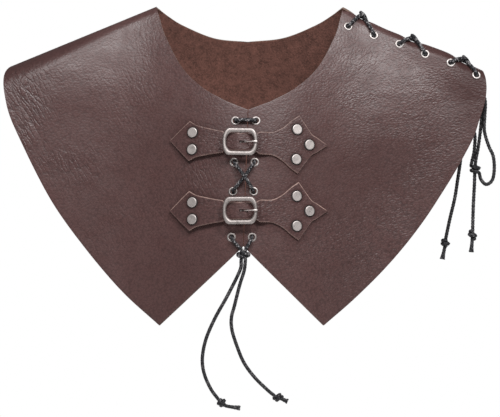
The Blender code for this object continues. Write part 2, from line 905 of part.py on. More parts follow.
def tube(name, points, diameter, group, look, swell=None):
    """A round cord or bar along points."""
    curve = bpy.data.curves.new(name, "CURVE")
    curve.dimensions = "3D"
    curve.fill_mode = "FULL"
    curve.bevel_depth = diameter / 2
    curve.bevel_resolution = 2
    curve.use_fill_caps = True
    spline = curve.splines.new("POLY")
    spline.points.add(len(points) - 1)
    for i, (point, place) in enumerate(zip(spline.points, points)):
        point.co = (*place, 1)
        if swell:
            point.radius = swell[i]
    made = bpy.data.objects.new(name, curve)
    group.objects.link(made)
    if look:
        curve.materials.append(look)
    return made


def buckle_frame(name, frame, group, cutters, look):
    """A rounded frame whose centre bar is set back, so that the strap passes under both ends."""
    outer = rounded_rectangle(frame_length, frame_height, frame_corner_across, frame_corner_up)
    inner = rounded_rectangle(
        frame_length - 2 * side_bar_width, frame_height - 2 * rail_width,
        window_corner_across, window_corner_up
    )
    ring = flat_ring(name, (outer, inner), frame_thickness, group)
    ring.data.transform(Matrix.Translation((0, 0, frame_bottom + frame_thickness / 2 - bar_level)))
    rounding = ring.modifiers.new("edges", "BEVEL")
    rounding.width = frame_edge_round
    rounding.segments = 1
    rounding.limit_method = "ANGLE"
    rounding.angle_limit = math.radians(50)
    apply_modifiers(ring)
    ring.matrix_world = frame @ Matrix.Translation((0, 0, bar_level))
    end = (frame_height - rail_width) / 2
    inside = neck_of_strap / 2 + centre_bar_radius + 2 * seat_gap
    rise = frame_bottom + frame_thickness / 2 - bar_level
    half = [(0, end, rise), (0, end, rise * 0.35), (0, mix(inside, end, 0.6), rise * 0.06), (0, inside, 0)]
    route = half + [(x, -y, z) for x, y, z in reversed(half)]
    bar = tube(name + "_bar", route, 2 * centre_bar_radius, cutters, None)
    bar = evaluated_mesh(bar)
    bar.matrix_world = frame @ Matrix.Translation((0, 0, bar_level))
    boolean(ring, bar, "UNION")
    ring.data.materials.append(look)
    return ring


def tongue(name, frame, group, cutters, look):
    """A prong that turns on the centre bar and lies on the frame's right bar."""
    bore = centre_bar_radius + ring_clearance
    outer = bore + tongue_ring_wall
    half = tongue_ring_width / 2
    origin = frame @ Matrix.Translation((0, 0, bar_level))
    profile = ((bore, half), (outer, half), (outer, -half), (bore, -half))
    ring = turned(name, profile, origin @ Matrix.Rotation(math.pi / 2, 4, "X"), group, look, True)
    ring = evaluated_mesh(ring)
    place = ring.matrix_world.copy()
    rest = frame_top + seat_gap + tongue_radius - bar_level
    middle = mix(bore, outer, 0.6)
    inner_edge = window_half_length
    route = smooth_polyline(
        (
            (middle * 0.85, 0, middle * 0.5),
            (inner_edge * 0.42, 0, rest * 0.42),
            (inner_edge * 0.75, 0, rest * 0.80),
            (inner_edge * 0.98, 0, rest * 1.01),
            (side_bar_middle, 0, rest * 1.03),
            (frame_length / 2 + side_bar_width * 0.05, 0, rest * 1.0),
        ),
        9,
    )
    prong = evaluated_mesh(tube(name + "_prong", route, 2 * tongue_radius, cutters, None))
    prong.data.transform(place.inverted() @ origin)
    prong.matrix_world = place
    boolean(ring, prong, "UNION")
    ring.data.materials.append(look)
    return ring


# Cords


def eyelet_turn(seat, toward, outside):
    """Points where a cord turns over an eyelet's rim from a neighbour's direction into its bore."""
    frame, top, bottom = seat
    away = frame.inverted() @ toward
    away = Vector((away.x, away.y, 0)).normalized()
    clear = cord_diameter / 2 + cord_gap
    rim = eyelet_bore / 2
    level = top + eyelet_rise if outside else bottom - eyelet_rise
    sign = 1 if outside else -1
    radius = clear * 1.12
    points = []
    for degrees in (90, 45, 0):
        angle = math.radians(degrees)
        out = rim - radius * math.cos(angle)
        points.append(frame @ (away * out + Vector((0, 0, level + sign * radius * math.sin(angle)))))
    return points


def lace_route(passes, spans):
    """A cord through eyelets: passes are (seat, goes inward), spans the points between them.

    An empty first or last span leaves the cord's end just inside the leather.
    """
    points = list(spans[0])
    for i, (seat, inward) in enumerate(passes):
        frame, top, bottom = seat
        end = frame @ Vector((0, 0, bottom - eyelet_rise - cord_diameter / 2))
        following = spans[i + 1]
        turn_in = eyelet_turn(seat, points[-1], inward) if points else [end]
        turn_out = eyelet_turn(seat, following[0], not inward) if following else [end]
        points += turn_in + list(reversed(turn_out)) + list(following)
    return points


def over_leather(x, z, lift, face=FRONT):
    """A cord point at a height above, or behind, the outer face."""
    return outer_point(x, drop_of_height(x, z), face, lift)


def front_lace_points(seats):
    """The front lace's route from the knot, up both sides and back to the knot."""
    left = front_eyelet_frames(LEFT)
    right = front_eyelet_frames(RIGHT)
    near = cord_diameter / 2 + cord_gap
    outside = near + eyelet_rise
    inside = -leather_thickness - near - eyelet_rise
    middle = centre_shift(-(front_eyelet_drops[1] + front_eyelet_drops[2]) / 2, LEFT) - centre_gap
    crossing = -(front_eyelet_drops[1] + front_eyelet_drops[2]) / 2

    def between(first, second, lift, share=0.5):
        x = mix(first[0], second[0], share)
        drop = mix(first[1], second[1], share)
        return outer_point(x, drop, FRONT, lift)

    knot_top = -knot_drop + knot_height / 2 + cord_gap
    end_left = Vector((-notch_shift - cord_diameter * 0.6, -knot_depth(), knot_top))
    end_right = Vector((-notch_shift + cord_diameter * 0.6, -knot_depth(), knot_top))
    rise = Vector((0, 0, cord_diameter * 0.6))
    passes = [
        (left[3], True), (left[2], False), (right[1], True), (right[0], False),
        (left[0], True), (left[1], False), (right[2], True), (right[3], False),
    ]
    over = outside + cord_diameter + cord_gap * 2
    low_left = over_leather(left[3][0], -front_eyelet_drops[3], outside)
    low_right = over_leather(right[3][0], -front_eyelet_drops[3], outside)
    spans = [
        [end_left, end_left + rise, end_left.lerp(low_left, 0.55)],
        [between(left[3], left[2], inside)],
        [outer_point(middle, drop_of_height(middle, crossing), FRONT, outside)],
        [between(right[1], right[0], inside)],
        [between(right[0], left[0], outside)],
        [between(left[0], left[1], inside)],
        [outer_point(middle, drop_of_height(middle, crossing), FRONT, over)],
        [between(right[2], right[3], inside)],
        [end_right.lerp(low_right, 0.55), end_right + rise, end_right],
    ]
    return lace_route([(seats[place], inward) for place, inward in passes], spans)


def seated_point(trees, x, drop, face, lift, outside=True):
    """A cord point at a distance off the leather's faceted outer or inner face."""
    frame = local_frame(x, drop, face)
    level = touch_level(trees, frame, cord_diameter / 2, outside)
    return frame @ Vector((0, 0, level + (lift if outside else -lift)))


def shoulder_lace_points(seats, trees):
    """The shoulder lace's route, from one hanging end to the other."""
    front = shoulder_eyelet_frames(FRONT)
    back = shoulder_eyelet_frames(BACK)
    near = cord_diameter / 2 + cord_gap
    outside = near + eyelet_rise * 0.5
    inside = -leather_thickness - near - eyelet_rise

    def crossing(first, second, raised):
        x = (first[0] + second[0]) / 2
        lift = near + (cord_diameter + 3 * cord_gap if raised else cord_gap)
        points = []
        for share in crossing_shares:
            at = mix(first[0], x, share)
            drop = drop_of_arc(at, arc_of_drop(*first) * (1 - share), first[2])
            points.append(seated_point(trees, at, drop, first[2], mix(outside, lift, share**2)))
        points.append(seated_point(trees, x, 0.0, FRONT, lift))
        for share in reversed(crossing_shares):
            at = mix(second[0], x, share)
            drop = drop_of_arc(at, arc_of_drop(*second) * (1 - share), second[2])
            points.append(seated_point(trees, at, drop, second[2], mix(outside, lift, share**2)))
        return points

    def inner(first, second):
        points = []
        for share in (0.35, 0.65):
            x = mix(first[0], second[0], share)
            drop = mix(first[1], second[1], share)
            points.append(seated_point(trees, x, drop, first[2], near + eyelet_rise / 2, False))
        return points

    def start_bar(first, second):
        a = outer_point(first[0], first[1] * 0.7, FRONT, inside * 1.5)
        b = outer_point(second[0], second[1] * 0.7, BACK, inside * 1.5)
        low = mix(a.z, b.z, 0.5) - cord_diameter
        return [a, Vector((first[0], 0, low)), b]

    passes = [
        (front[5], False), (back[4], True), (back[3], False), (front[2], True),
        (front[1], False), (back[0], True), (front[0], False), (back[1], True),
        (back[2], False), (front[3], True), (front[4], False), (back[5], True),
    ]
    spans = [
        [],
        crossing(front[5], back[4], False),
        inner(back[4], back[3]),
        crossing(back[3], front[2], False),
        inner(front[2], front[1]),
        crossing(front[1], back[0], False),
        list(reversed(start_bar(front[0], back[0]))),
        crossing(front[0], back[1], True),
        inner(back[1], back[2]),
        crossing(back[2], front[3], True),
        inner(front[3], front[4]),
        crossing(front[4], back[5], True),
        [],
    ]
    return lace_route([(seats[place], inward) for place, inward in passes], spans)


def free_cord(name, route, start, group, look):
    """A hanging cord along a smooth curve through its route, after a straight start."""
    points = list(start[1:]) + [Vector(p) for p in route]
    count = max(4, round(polyline_length(points) / cord_point_spacing))
    line = list(start[:1]) + [Vector(p) for p in smooth_polyline(points, count)]
    return tube(name, line, cord_diameter, group, look)


def tip_knot(name, route, tail, group, look):
    """A stopper knot at a cord's end, with its tail."""
    end = Vector(route[-1])
    onward = (end - Vector(route[-2])).normalized()
    points = [end + onward * cord_gap, end + onward * tip_knot_length * 0.5] + [Vector(p) for p in tail]
    length = polyline_length(points)
    places = [tip_knot_length * share / length for share in tip_knot_shares]
    places += [mix(places[-1], 1, share) for share in (0.5, 1)]
    line = smooth_polyline(points, places)
    fullness = tip_knot_diameter / cord_diameter
    swell = [mix(1, fullness, math.sqrt(max(0, 1 - (2 * share - 1) ** 2))) for share in tip_knot_shares]
    swell += [1.0, 0.85]
    return tube(name, line, cord_diameter, group, look, swell)


def knot_depth():
    """How far in front of the ridge's plane the front knot lies."""
    return stand_off(0, drop_of_height(0, -notch_drop), FRONT) + cord_diameter / 2 + cord_gap


def knot_exit(side):
    """Points where a cord leaves the front knot downwards."""
    x = -notch_shift + side * cord_diameter * 0.6
    low = -knot_drop - knot_height / 2 - cord_gap
    return [Vector((x, -knot_depth(), low)), Vector((x, -knot_depth(), low - cord_diameter / 2))]


def below_knot(points):
    """Places of the front cords, given with Z from the front knot, as places of the whole."""
    return [(x, y, z - knot_drop) for x, y, z in points]


def beside_shoulder(points):
    """Places of the side cords, given with X from the right shoulder's end, as places of the whole."""
    return [(ridge_end(RIGHT) + x, y, z) for x, y, z in points]


def front_knot(name, group, look):
    """The knot below the notch, drawn as a rounded bar."""
    mesh = bpy.data.meshes.new(name)
    bm = bmesh.new()
    size = Matrix.Diagonal((knot_length, knot_height, knot_height, 1))
    place = Matrix.Translation((-notch_shift, -knot_depth(), -knot_drop))
    bmesh.ops.create_uvsphere(bm, u_segments=round_steps, v_segments=6, radius=0.5, matrix=place @ size)
    bm.to_mesh(mesh)
    bm.free()
    return finish_object(name, mesh, group, look)


def side_cords(seats, group, look):
    """The two ends of the shoulder lace: one hangs straight, one makes a loop and is hitched round it."""
    starts = []
    for face in (FRONT, BACK):
        frame, top, bottom = seats[shoulder_eyelet_frames(face)[-1]]
        inside = bottom - eyelet_rise - cord_diameter / 2 - cord_gap
        starts.append([frame @ Vector((0, 0, inside)), frame @ Vector((0, 0, inside - cord_diameter / 2))])
    centre = Vector(beside_shoulder([hitch_centre])[0])
    hitch = []
    steps = round(hitch_turns * 8)
    for i in range(steps + 1):
        angle = 2 * math.pi * hitch_turns * i / steps
        share = i / steps
        hitch.append(centre + Vector((
            hitch_radius * math.cos(angle), -hitch_radius * math.sin(angle), hitch_rise * (share - 0.5),
        )))
    first = [Vector(p) for p in beside_shoulder(side_front_route)]
    last = [Vector(p) for p in beside_shoulder(side_front_return)]
    down_count = round(polyline_length(first) / cord_point_spacing) + 2
    up_count = round(polyline_length(last) / cord_point_spacing) + 1
    down = smooth_polyline(starts[0][1:] + first + hitch[:1], down_count)
    up = smooth_polyline(hitch[-1:] + last, up_count)
    points = starts[0][:1] + [Vector(p) for p in down] + hitch[1:-1] + [Vector(p) for p in up]
    tube("side_cord_front", points, cord_diameter, group, look)
    free_cord("side_cord_back", beside_shoulder(side_back_route), starts[1], group, look)


def build():
    """Makes every part."""
    clear_scene()
    group = new_collection(PART_NAME)
    cutters = new_collection("cutters")
    leather = material("leather", (0.085, 0.052, 0.048), 0.48, 0.0)
    metal = material("antique_metal", (0.50, 0.47, 0.44), 0.35, 1.0)
    cord_look = material("braided_cord", (0.012, 0.012, 0.014), 0.6, 0.0)

    front_left = half_panel(LEFT, FRONT)
    back_left = half_panel(LEFT, BACK)
    back_right = half_panel(RIGHT, BACK)
    front_right = half_panel(RIGHT, FRONT)
    shell_mesh = shell_surface("shell", (front_left, back_left, back_right))
    shell = finish_object("shell", shell_mesh, group, leather)
    solidify(shell, leather_thickness, -1)
    right_mesh = shell_surface("right_front_panel", (front_right,))
    right = finish_object("right_front_panel", right_mesh, group, leather)
    solidify(right, leather_thickness, -1)

    eyelet_sets = {
        "eyelet_left": front_eyelet_frames(LEFT),
        "eyelet_right": front_eyelet_frames(RIGHT),
        "eyelet_shoulder_front": shoulder_eyelet_frames(FRONT),
        "eyelet_shoulder_back": shoulder_eyelet_frames(BACK),
    }
    shell_tree = surface_tree(shell)
    right_tree = surface_tree(right)
    trees = {"eyelet_left": shell_tree, "eyelet_shoulder_back": shell_tree}
    seats = {}
    for kind, places in eyelet_sets.items():
        for i, place in enumerate(places, 1):
            tree = trees.get(kind, right_tree)
            frame = local_frame(*place)
            top = touch_level([tree], frame, eyelet_flange / 2, True)
            bottom = touch_level([tree], frame, eyelet_flange / 2, False)
            seats[place] = (frame, top, bottom)
            eyelet(f"{kind}_{i}", place, top, bottom, group, metal)

    eyelet_hole = eyelet_bore + 2 * (eyelet_wall + hole_clearance)
    rivet_hole = rivet_shank + 2 * hole_clearance
    shell_places = eyelet_sets["eyelet_left"] + eyelet_sets["eyelet_shoulder_back"]
    right_places = eyelet_sets["eyelet_right"] + eyelet_sets["eyelet_shoulder_front"]
    shell_eyelets = [local_frame(*p) for p in shell_places]
    right_eyelets = [local_frame(*p) for p in right_places]
    shell_rivets = []
    right_rivets = []
    reach = leather_thickness + overrun / 2

    for place, buckle in buckles.items():
        frame = strap_frame(buckle, 0, 0)
        chape = strap_object(f"{place}_chape", buckle, chape_path(), group, leather)
        billet = strap_object(f"{place}_billet", buckle, billet_path(), group, leather)
        slot_half = tongue_ring_width / 2 + tongue_slot_clearance
        wrap_outer = wrap_radius + strap_thickness / 2
        slot = box_cutter(
            f"{place}_chape_slot", frame, (-wrap_outer - tongue_slot_clearance, -slot_half, -overrun / 4),
            (wrap_outer + overrun, slot_half, upper_level + strap_thickness / 2 + seat_gap), cutters,
        )
        boolean(chape, slot, "DIFFERENCE")
        prong_half = tongue_radius + tongue_slot_clearance
        prong_slot = box_cutter(
            f"{place}_billet_slot", frame, (-centre_bar_radius * 0.8, -prong_half, 0),
            (window_half_length * 0.6, prong_half, billet_top_level + overrun), cutters,
        )
        boolean(billet, prong_slot, "DIFFERENCE")

        chape_rivets = [strap_frame(buckle, -chape_rivet_reach, s * chape_rivet_spread) for s in (1, -1)]
        billet_rivets = [strap_frame(buckle, billet_rivet_reach, s * billet_rivet_spread) for s in (1, -1)]
        billet_rivets.append(strap_frame(buckle, billet_tip_rivet_reach, 0))
        for item, frames, tree in ((chape, chape_rivets, shell_tree), (billet, billet_rivets, right_tree)):
            strap_tree = surface_tree(item)
            for i, at in enumerate(frames, 1):
                top = touch_level([strap_tree], at, rivet_cap / 2, True)
                bottom = touch_level([tree], at, rivet_back_cap / 2, False)
                rivet(f"{item.name}_rivet_{i}", at, top, bottom, group, metal)
            drill = hole_cutters(item.name + "_holes", frames, rivet_hole, frame_bottom, cutters)
            boolean(item, drill, "DIFFERENCE")
        shell_rivets += chape_rivets
        right_rivets += billet_rivets
        buckle_frame(f"{place}_buckle_frame", frame, group, cutters, metal)
        tongue(f"{place}_buckle_tongue", frame, group, cutters, metal)

    panels = ((shell, shell_eyelets, shell_rivets), (right, right_eyelets, right_rivets))
    for item, eyelets, rivets in panels:
        drill = hole_cutters(item.name + "_eyelet_holes", eyelets, eyelet_hole, reach, cutters)
        boolean(item, drill, "DIFFERENCE")
        drill = hole_cutters(item.name + "_rivet_holes", rivets, rivet_hole, reach, cutters)
        boolean(item, drill, "DIFFERENCE")

    tube("front_lace", front_lace_points(seats), cord_diameter, group, cord_look)
    shoulder_points = shoulder_lace_points(seats, [shell_tree, right_tree])
    tube("shoulder_lace", shoulder_points, cord_diameter, group, cord_look)
    front_knot("front_knot", group, cord_look)
    free_cord("front_cord_left", below_knot(front_left_route), knot_exit(LEFT), group, cord_look)
    free_cord("front_cord_right", below_knot(front_right_route), knot_exit(RIGHT), group, cord_look)
    side_cords(seats, group, cord_look)
    tips = {
        "front_tip_left": (below_knot(front_left_route), below_knot(front_left_tail)),
        "front_tip_right": (below_knot(front_right_route), below_knot(front_right_tail)),
        "side_tip_front": (beside_shoulder(side_front_return), beside_shoulder(side_front_tail)),
        "side_tip_back": (beside_shoulder(side_back_route), beside_shoulder(side_back_tail)),
    }
    for name, (route, tail) in tips.items():
        tip_knot(name, route, tail, group, cord_look)


build()
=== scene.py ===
"""Looks of the laced leather shoulder armour: leather, straps, fittings and braided cords."""

import math

import bmesh
import bpy
import numpy as np
from bpy.props import FloatProperty, FloatVectorProperty, IntProperty, PointerProperty
from mathutils import Matrix, Vector, noise
from mathutils.bvhtree import BVHTree
from mathutils.kdtree import KDTree


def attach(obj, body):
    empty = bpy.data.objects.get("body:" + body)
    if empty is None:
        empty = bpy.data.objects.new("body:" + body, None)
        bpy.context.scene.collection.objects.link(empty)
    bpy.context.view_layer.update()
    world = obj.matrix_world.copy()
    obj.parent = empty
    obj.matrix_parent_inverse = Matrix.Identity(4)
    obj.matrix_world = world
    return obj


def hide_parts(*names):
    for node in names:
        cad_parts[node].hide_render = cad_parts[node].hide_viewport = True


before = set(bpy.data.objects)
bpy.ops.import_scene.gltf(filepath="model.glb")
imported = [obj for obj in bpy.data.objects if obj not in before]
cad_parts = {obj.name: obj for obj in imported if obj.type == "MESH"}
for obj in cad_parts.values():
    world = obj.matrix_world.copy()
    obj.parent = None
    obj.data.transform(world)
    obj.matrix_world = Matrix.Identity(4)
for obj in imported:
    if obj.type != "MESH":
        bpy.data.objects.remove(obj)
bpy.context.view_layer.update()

bl_info = {
    "name": "Leather shoulder armour",
    "version": (1, 0, 0),
    "blender": (4, 5, 0),
    "location": "3D View > Sidebar > Armour",
    "description": "Makes the leather, straps, fittings, cords and studio of the shoulder armour",
    "category": "Object",
}

LEFT = -1
RIGHT = 1
FRONT = -1
BACK = 1

# Sizes that only the looks have, in metres
strap_rim = 0.0006
small_round = 0.0004
cap_round = 0.0007
eyelet_lip = 0.0003
eyelet_foot = 0.0001
back_narrowing = 0.0002
back_dome = 0.0001
ring_chamfer = 0.0002
metal_gap = 0.00002
# A thin dark ring round each rivet cap, a painted shadow: width, inset, slope, rise and height
shadow_ring_width = 0.0011
shadow_ring_inset = 0.0006
shadow_ring_slope = 0.0003
shadow_ring_rise = 0.00018
shadow_ring_height = 0.0003
cutter_margin = 0.0040
touch_reach = 0.0120
sheet_merge = 0.00002
turned_merge = 0.000005
coil_sway = 0.0006
# Painted shade on the cut edges within this distance of the centre seam
seam_painted_shade_reach = 0.0060

# Shares, counts and angles that only the looks have
cord_fullness = 1.15
strand_share = 0.36
weave_share = 0.11
crest_share = 0.94
carriers = 4
wave_points = 5
fray_start_share = 0.55
fray_run_share = 0.45
eyelet_turn_share = 1.12
hitch_steps = 8
coil_turns = 1.75
coil_steps = 42
coil_inset_share = 0.20
coil_length_share = 0.62
coil_taper = 0.35
near_share = 0.44
row_crowding = 1.9
panel_round_share = 0.22
strap_round_share = 0.42
strap_rows = 18
corner_degrees = 55
touch_shares = (0.15, 0.6, 1.0)
touch_turns = 24
cap_dish = ((0, 0.00005), (0.55, 0.00002), (0.80, 0))

# How free the panels are to ripple: drops that stay still and the straps' middle and reach
still_drop_left = 0.004
still_drop_right = 0.018
ripple_start = 0.030
strap_middle = (0.002, -0.182)
strap_reach = 0.088

# The front's swells and hollows: height, middle, half widths
front_swells = (
    (0.0045, (0.150, -0.115), (0.060, 0.050)),
    (-0.0032, (0.212, -0.090), (0.026, 0.050)),
    (-0.0014, (0.060, -0.235), (0.050, 0.030)),
    (0.0016, (-0.160, -0.085), (0.070, 0.030)),
    (-0.0016, (-0.215, -0.140), (0.030, 0.050)),
)

# The front's wrinkles: height, middle, half widths, angle, counts per metre across and along, seed
front_wrinkles = (
    (0.00055, (-0.232, -0.115), (0.034, 0.055), -62, 120, 20, 1.7),
    (0.00045, (-0.178, -0.166), (0.036, 0.020), -24, 130, 40, 4.1),
    (0.00035, (0.175, -0.110), (0.085, 0.075), 10, 120, 36, 2.9),
    (0.00040, (0.125, -0.050), (0.035, 0.040), 48, 120, 26, 6.3),
)

# Where the front's grain is creased: strength, middle, half widths
even_creases = 0.16
front_creases = (
    (0.95, (-0.236, -0.105), (0.028, 0.050)),
    (0.55, (-0.180, -0.165), (0.034, 0.018)),
    (0.80, (0.170, -0.090), (0.090, 0.070)),
    (0.60, (0.195, -0.165), (0.060, 0.060)),
    (0.85, (0.120, -0.265), (0.090, 0.070)),
    (0.50, (-0.050, -0.170), (0.024, 0.034)),
)

# Where the creases rise steeply, and where they turn from falling to rising
steep_creases = (1.2, (0.120, -0.035), (0.030, 0.040))
lean_turn_x = 0.02
lean_turn_width = 0.16

# Painted shade on the front, where it is darker: strength, middle, half widths
painted_shade_spots = (
    (0.75, (0.238, -0.088), (0.030, 0.036)),
    (0.35, (0.130, -0.165), (0.065, 0.035)),
)

# Painted shade in bands along the ridges: strength, reach down, side, start and run outwards
painted_shade_ridges = (
    (0.70, 0.013, LEFT, 0.130, 0.060),
    (0.55, 0.012, RIGHT, 0.130, 0.040),
)

# Painted shadow on the leather round the straps, the buckle frames and the rivets
strap_painted_shade_above = 0.20
strap_painted_shade_below = 0.75
strap_painted_shade_reach = 0.0042
buckle_painted_shade = 0.60
buckle_painted_shade_size = (0.017, 0.0035)
buckle_painted_shade_offset = 0.001
beside_frame_painted_shade = 0.75
beside_frame_painted_shade_reach = 0.0016
beside_frame_painted_shade_end = 0.004
rivet_painted_shade = 0.9
rivet_painted_shade_reach = 0.0026

# How pale the straps' rims are: on top at each buckle, from wear with painted highlight, and below, from wear
# alone
upper_rim_wear_and_highlight = 0.4
lower_rim_wear_and_highlight = 0.8
under_rim_wear = 0.15

# The straps' creases: strength everywhere, more of it at a distance from the bar, its width, lean
strap_creases = 0.55
strap_creases_more = 0.85
strap_creases_place = 0.030
strap_creases_width = 0.018
strap_lean = 0.9

# Sizes that the solids have too, in metres
leather_thickness = 0.0020
neck_half_left = 0.0966
neck_half_right = 0.1002
front_neck_drop = 0.1090
back_neck_drop = 0.0365
shoulder_reach_left = 0.2572
shoulder_reach_right = 0.2510
ridge_fall_left = 0.0632
ridge_fall_right = 0.0675
tip_drop = 0.3350
tip_offset_left = 0.0930
tip_offset_right = 0.0795
notch_drop = 0.2525
notch_shift = 0.0049
centre_gap = 0.0008
corner_dip = 0.0050
corner_dip_length = 0.0165
seam_half_gap = 0.0015
fold_radius_neck = 0.0075
fold_radius_left = 0.0220
fold_radius_right = 0.0115
chest_spread = 0.0950
back_spread = 0.0850
shoulder_spread = 0.0280
chest_width = 0.1150
spread_depth = 0.1100
ridge_blend = 0.0600
# Waves of the right ridge: place, width, rise
ridge_waves = ((0.1420, 0.0250, -0.0028), (0.2140, 0.0220, 0.0024))
# Dips where the shoulder lace pulls the ridge down
pull_dip = 0.0028
pull_width = 0.0085
pull_depth = 0.0300
# Ends of the ridges as shares of the reach, and how the columns crowd towards them
ridge_end_left_share = 0.974
ridge_end_right_share = 0.985
ridge_crowding = 1.3
hem_crowding = 1.6

# Eyelets
eyelet_bore = 0.0052
eyelet_wall = 0.0005
eyelet_flange = 0.0088
eyelet_rise = 0.0008
seat_gap = 0.0003
front_eyelet_drops = (0.1208, 0.1641, 0.1948, 0.2426)
eyelet_inset_left = 0.0124
eyelet_inset_right = 0.0085
shoulder_eyelet_first = 0.1054
shoulder_eyelet_pitch = 0.0270
shoulder_eyelet_drops = (0.0182, 0.0131, 0.0105, 0.0107, 0.0094, 0.0082)

# Straps and rivets; each buckle has its height and its tilt in radians
strap_thickness = 0.0016
neck_of_strap = 0.0180
buckle_shift = 0.0077
buckles = {"upper": (-0.1440, -0.030), "lower": (-0.2154, 0.0)}
chape_length = 0.0734
chape_half_width = 0.0207
chape_return = 0.0560
billet_length = 0.0900
billet_half_width = 0.0303
billet_tip = 0.0175
rivet_cap = 0.0106
rivet_cap_height = 0.0016
rivet_shank = 0.0034
rivet_back_cap = 0.0090
rivet_back_height = 0.0009
chape_rivet_reach = 0.0492
chape_rivet_spread = 0.0088
billet_rivet_reach = 0.0580
billet_rivet_spread = 0.0156
billet_tip_rivet_reach = 0.0713

# Buckle frames and tongues
frame_length = 0.0365
frame_height = 0.0290
frame_corner_across = 0.0068
frame_corner_up = 0.0125
window_corner_across = 0.0060
window_corner_up = 0.0088
side_bar_width = 0.0038
rail_width = 0.0047
frame_thickness = 0.0024
centre_bar_radius = 0.0010
tilt_clearance = 0.0012
tongue_radius = 0.0008
tongue_slot_clearance = 0.0005
tongue_ring_wall = 0.0010
tongue_ring_width = 0.0024
ring_clearance = 0.00025

# Cords and knots
cord_gap = 0.0003
cord_size = 0.0036
knot_height = 0.0072
knot_drop = 0.2612
tip_knot_diameter = 0.0082
tip_knot_length = 0.0095
exit_offset = cord_size * 0.6

# Outlines as shares of a width and a depth, or of a strap's length and half width
neckline_shares = (
    (0, 1), (0.16, 0.945), (0.265, 0.905), (0.50, 0.785), (0.725, 0.59), (0.90, 0.30), (0.965, 0.12), (1, 0),
)
back_neckline_shares = ((0, 1), (0.37, 0.89), (0.70, 0.54), (0.87, 0.27), (1, 0))
hem_left_shares = (
    (0, 1), (0.203, 0.912), (0.367, 0.824), (0.530, 0.724), (0.658, 0.636), (0.754, 0.555),
    (0.866, 0.445), (0.958, 0.345), (0.994, 0.271), (1, 0.232), (0.993, 0.210), (0.978, 0.197),
)
hem_right_shares = (
    (0, 1), (0.180, 0.920), (0.357, 0.832), (0.500, 0.749), (0.620, 0.668), (0.720, 0.590), (0.808, 0.517),
    (0.914, 0.417), (0.955, 0.357), (0.988, 0.304), (1, 0.262), (0.996, 0.228), (0.984, 0.207),
)
chape_outline_shares = (
    (0, 0.435), (0.205, 0.435), (0.245, 0.53), (0.35, 0.595),
    (0.49, 0.695), (0.62, 0.81), (0.714, 1), (1, 0.015),
)
chape_corner_share = 0.714
billet_outline_shares = (
    (0, 0.297), (0.16, 0.297), (0.202, 0.355), (0.235, 0.385), (0.369, 0.40), (0.485, 0.57), (0.579, 0.81),
    (0.667, 1), (0.753, 0.634), (0.820, 0.366), (0.880, 0.257), (1, 0.012),
)
billet_corner_share = 0.667

# Routes of the hanging ends, along the photographed cords: (x, y, z)
front_left_route = (
    (-0.0085, -0.0970, -0.2775), (-0.0213, -0.0968, -0.3035), (-0.0347, -0.0962, -0.3276),
    (-0.0441, -0.0956, -0.3497), (-0.0477, -0.0950, -0.3696), (-0.0457, -0.0946, -0.3854),
    (-0.0389, -0.0942, -0.4011), (-0.0310, -0.0940, -0.4120),
)
front_left_tail = ((-0.0262, -0.0940, -0.4176), (-0.0205, -0.0940, -0.4195), (-0.0084, -0.0940, -0.4212))
front_right_route = (
    (-0.0040, -0.0970, -0.2775), (-0.0088, -0.0970, -0.2930), (-0.0141, -0.0968, -0.3140),
    (-0.0173, -0.0965, -0.3266), (-0.0168, -0.0960, -0.3392), (-0.0121, -0.0956, -0.3549),
    (-0.0042, -0.0952, -0.3738), (0.0074, -0.0948, -0.3896), (0.0210, -0.0944, -0.4028),
    (0.0276, -0.0942, -0.4082),
)
front_right_tail = ((0.0318, -0.0942, -0.4102), (0.0360, -0.0942, -0.4120), (0.0412, -0.0942, -0.4142))
side_front_route = (
    (0.2450, -0.0034, -0.0850), (0.2484, -0.0028, -0.0930), (0.2500, -0.0026, -0.1020),
    (0.2494, -0.0026, -0.1150), (0.2490, -0.0026, -0.1310), (0.2535, -0.0026, -0.1466),
    (0.2583, -0.0020, -0.1575), (0.2594, -0.0010, -0.1712), (0.2573, 0.0000, -0.1827),
    (0.2510, 0.0014, -0.1872), (0.2455, 0.0030, -0.1820),
)
hitch_centre = (0.2393, 0.0010, -0.1712)
hitch_radius = 0.0043
hitch_rise = 0.0072
hitch_turns = 1.5
side_front_return = (
    (0.2362, 0.0046, -0.1620), (0.2385, 0.0058, -0.1512), (0.2388, 0.0060, -0.1334),
    (0.2320, 0.0060, -0.1239), (0.2263, 0.0058, -0.1407), (0.2237, 0.0052, -0.1638),
    (0.2212, 0.0046, -0.1806), (0.2179, 0.0040, -0.2016), (0.2127, 0.0036, -0.2237),
    (0.2084, 0.0034, -0.2440),
)
side_front_tail = ((0.2080, 0.0034, -0.2502), (0.2068, 0.0034, -0.2560), (0.2048, 0.0034, -0.2657))
side_back_route = (
    (0.2430, 0.0038, -0.0850), (0.2460, 0.0028, -0.0950), (0.2466, 0.0024, -0.1100),
    (0.2448, 0.0022, -0.1313), (0.2424, 0.0016, -0.1491), (0.2400, 0.0012, -0.1617),
    (0.2390, 0.0010, -0.1743), (0.2384, 0.0010, -0.1900), (0.2373, 0.0010, -0.2121),
    (0.2367, 0.0010, -0.2355),
)
side_back_tail = ((0.2364, 0.0010, -0.2418), (0.2361, 0.0010, -0.2475), (0.2352, 0.0010, -0.2583))

# The picture and the lights: place, target, then length and width
picture_middle_x = 0.0021
picture_middle_z = -0.2126
picture_depth = -0.04
sensor_width = 36
clip_end = 60
floor_height = -0.75
floor_size = 6
key_light = ((-0.38, -1.57, 1.55), (-0.10, 0, -0.10), (0.8, 0.6))
back_light = ((1.10, 1.90, 0.25), (0, 0, -0.2), (1.0, 1.0))
fill_light = ((0.91, -1.46, 1.50), (0.13, 0, -0.10), (0.6, 0.5))


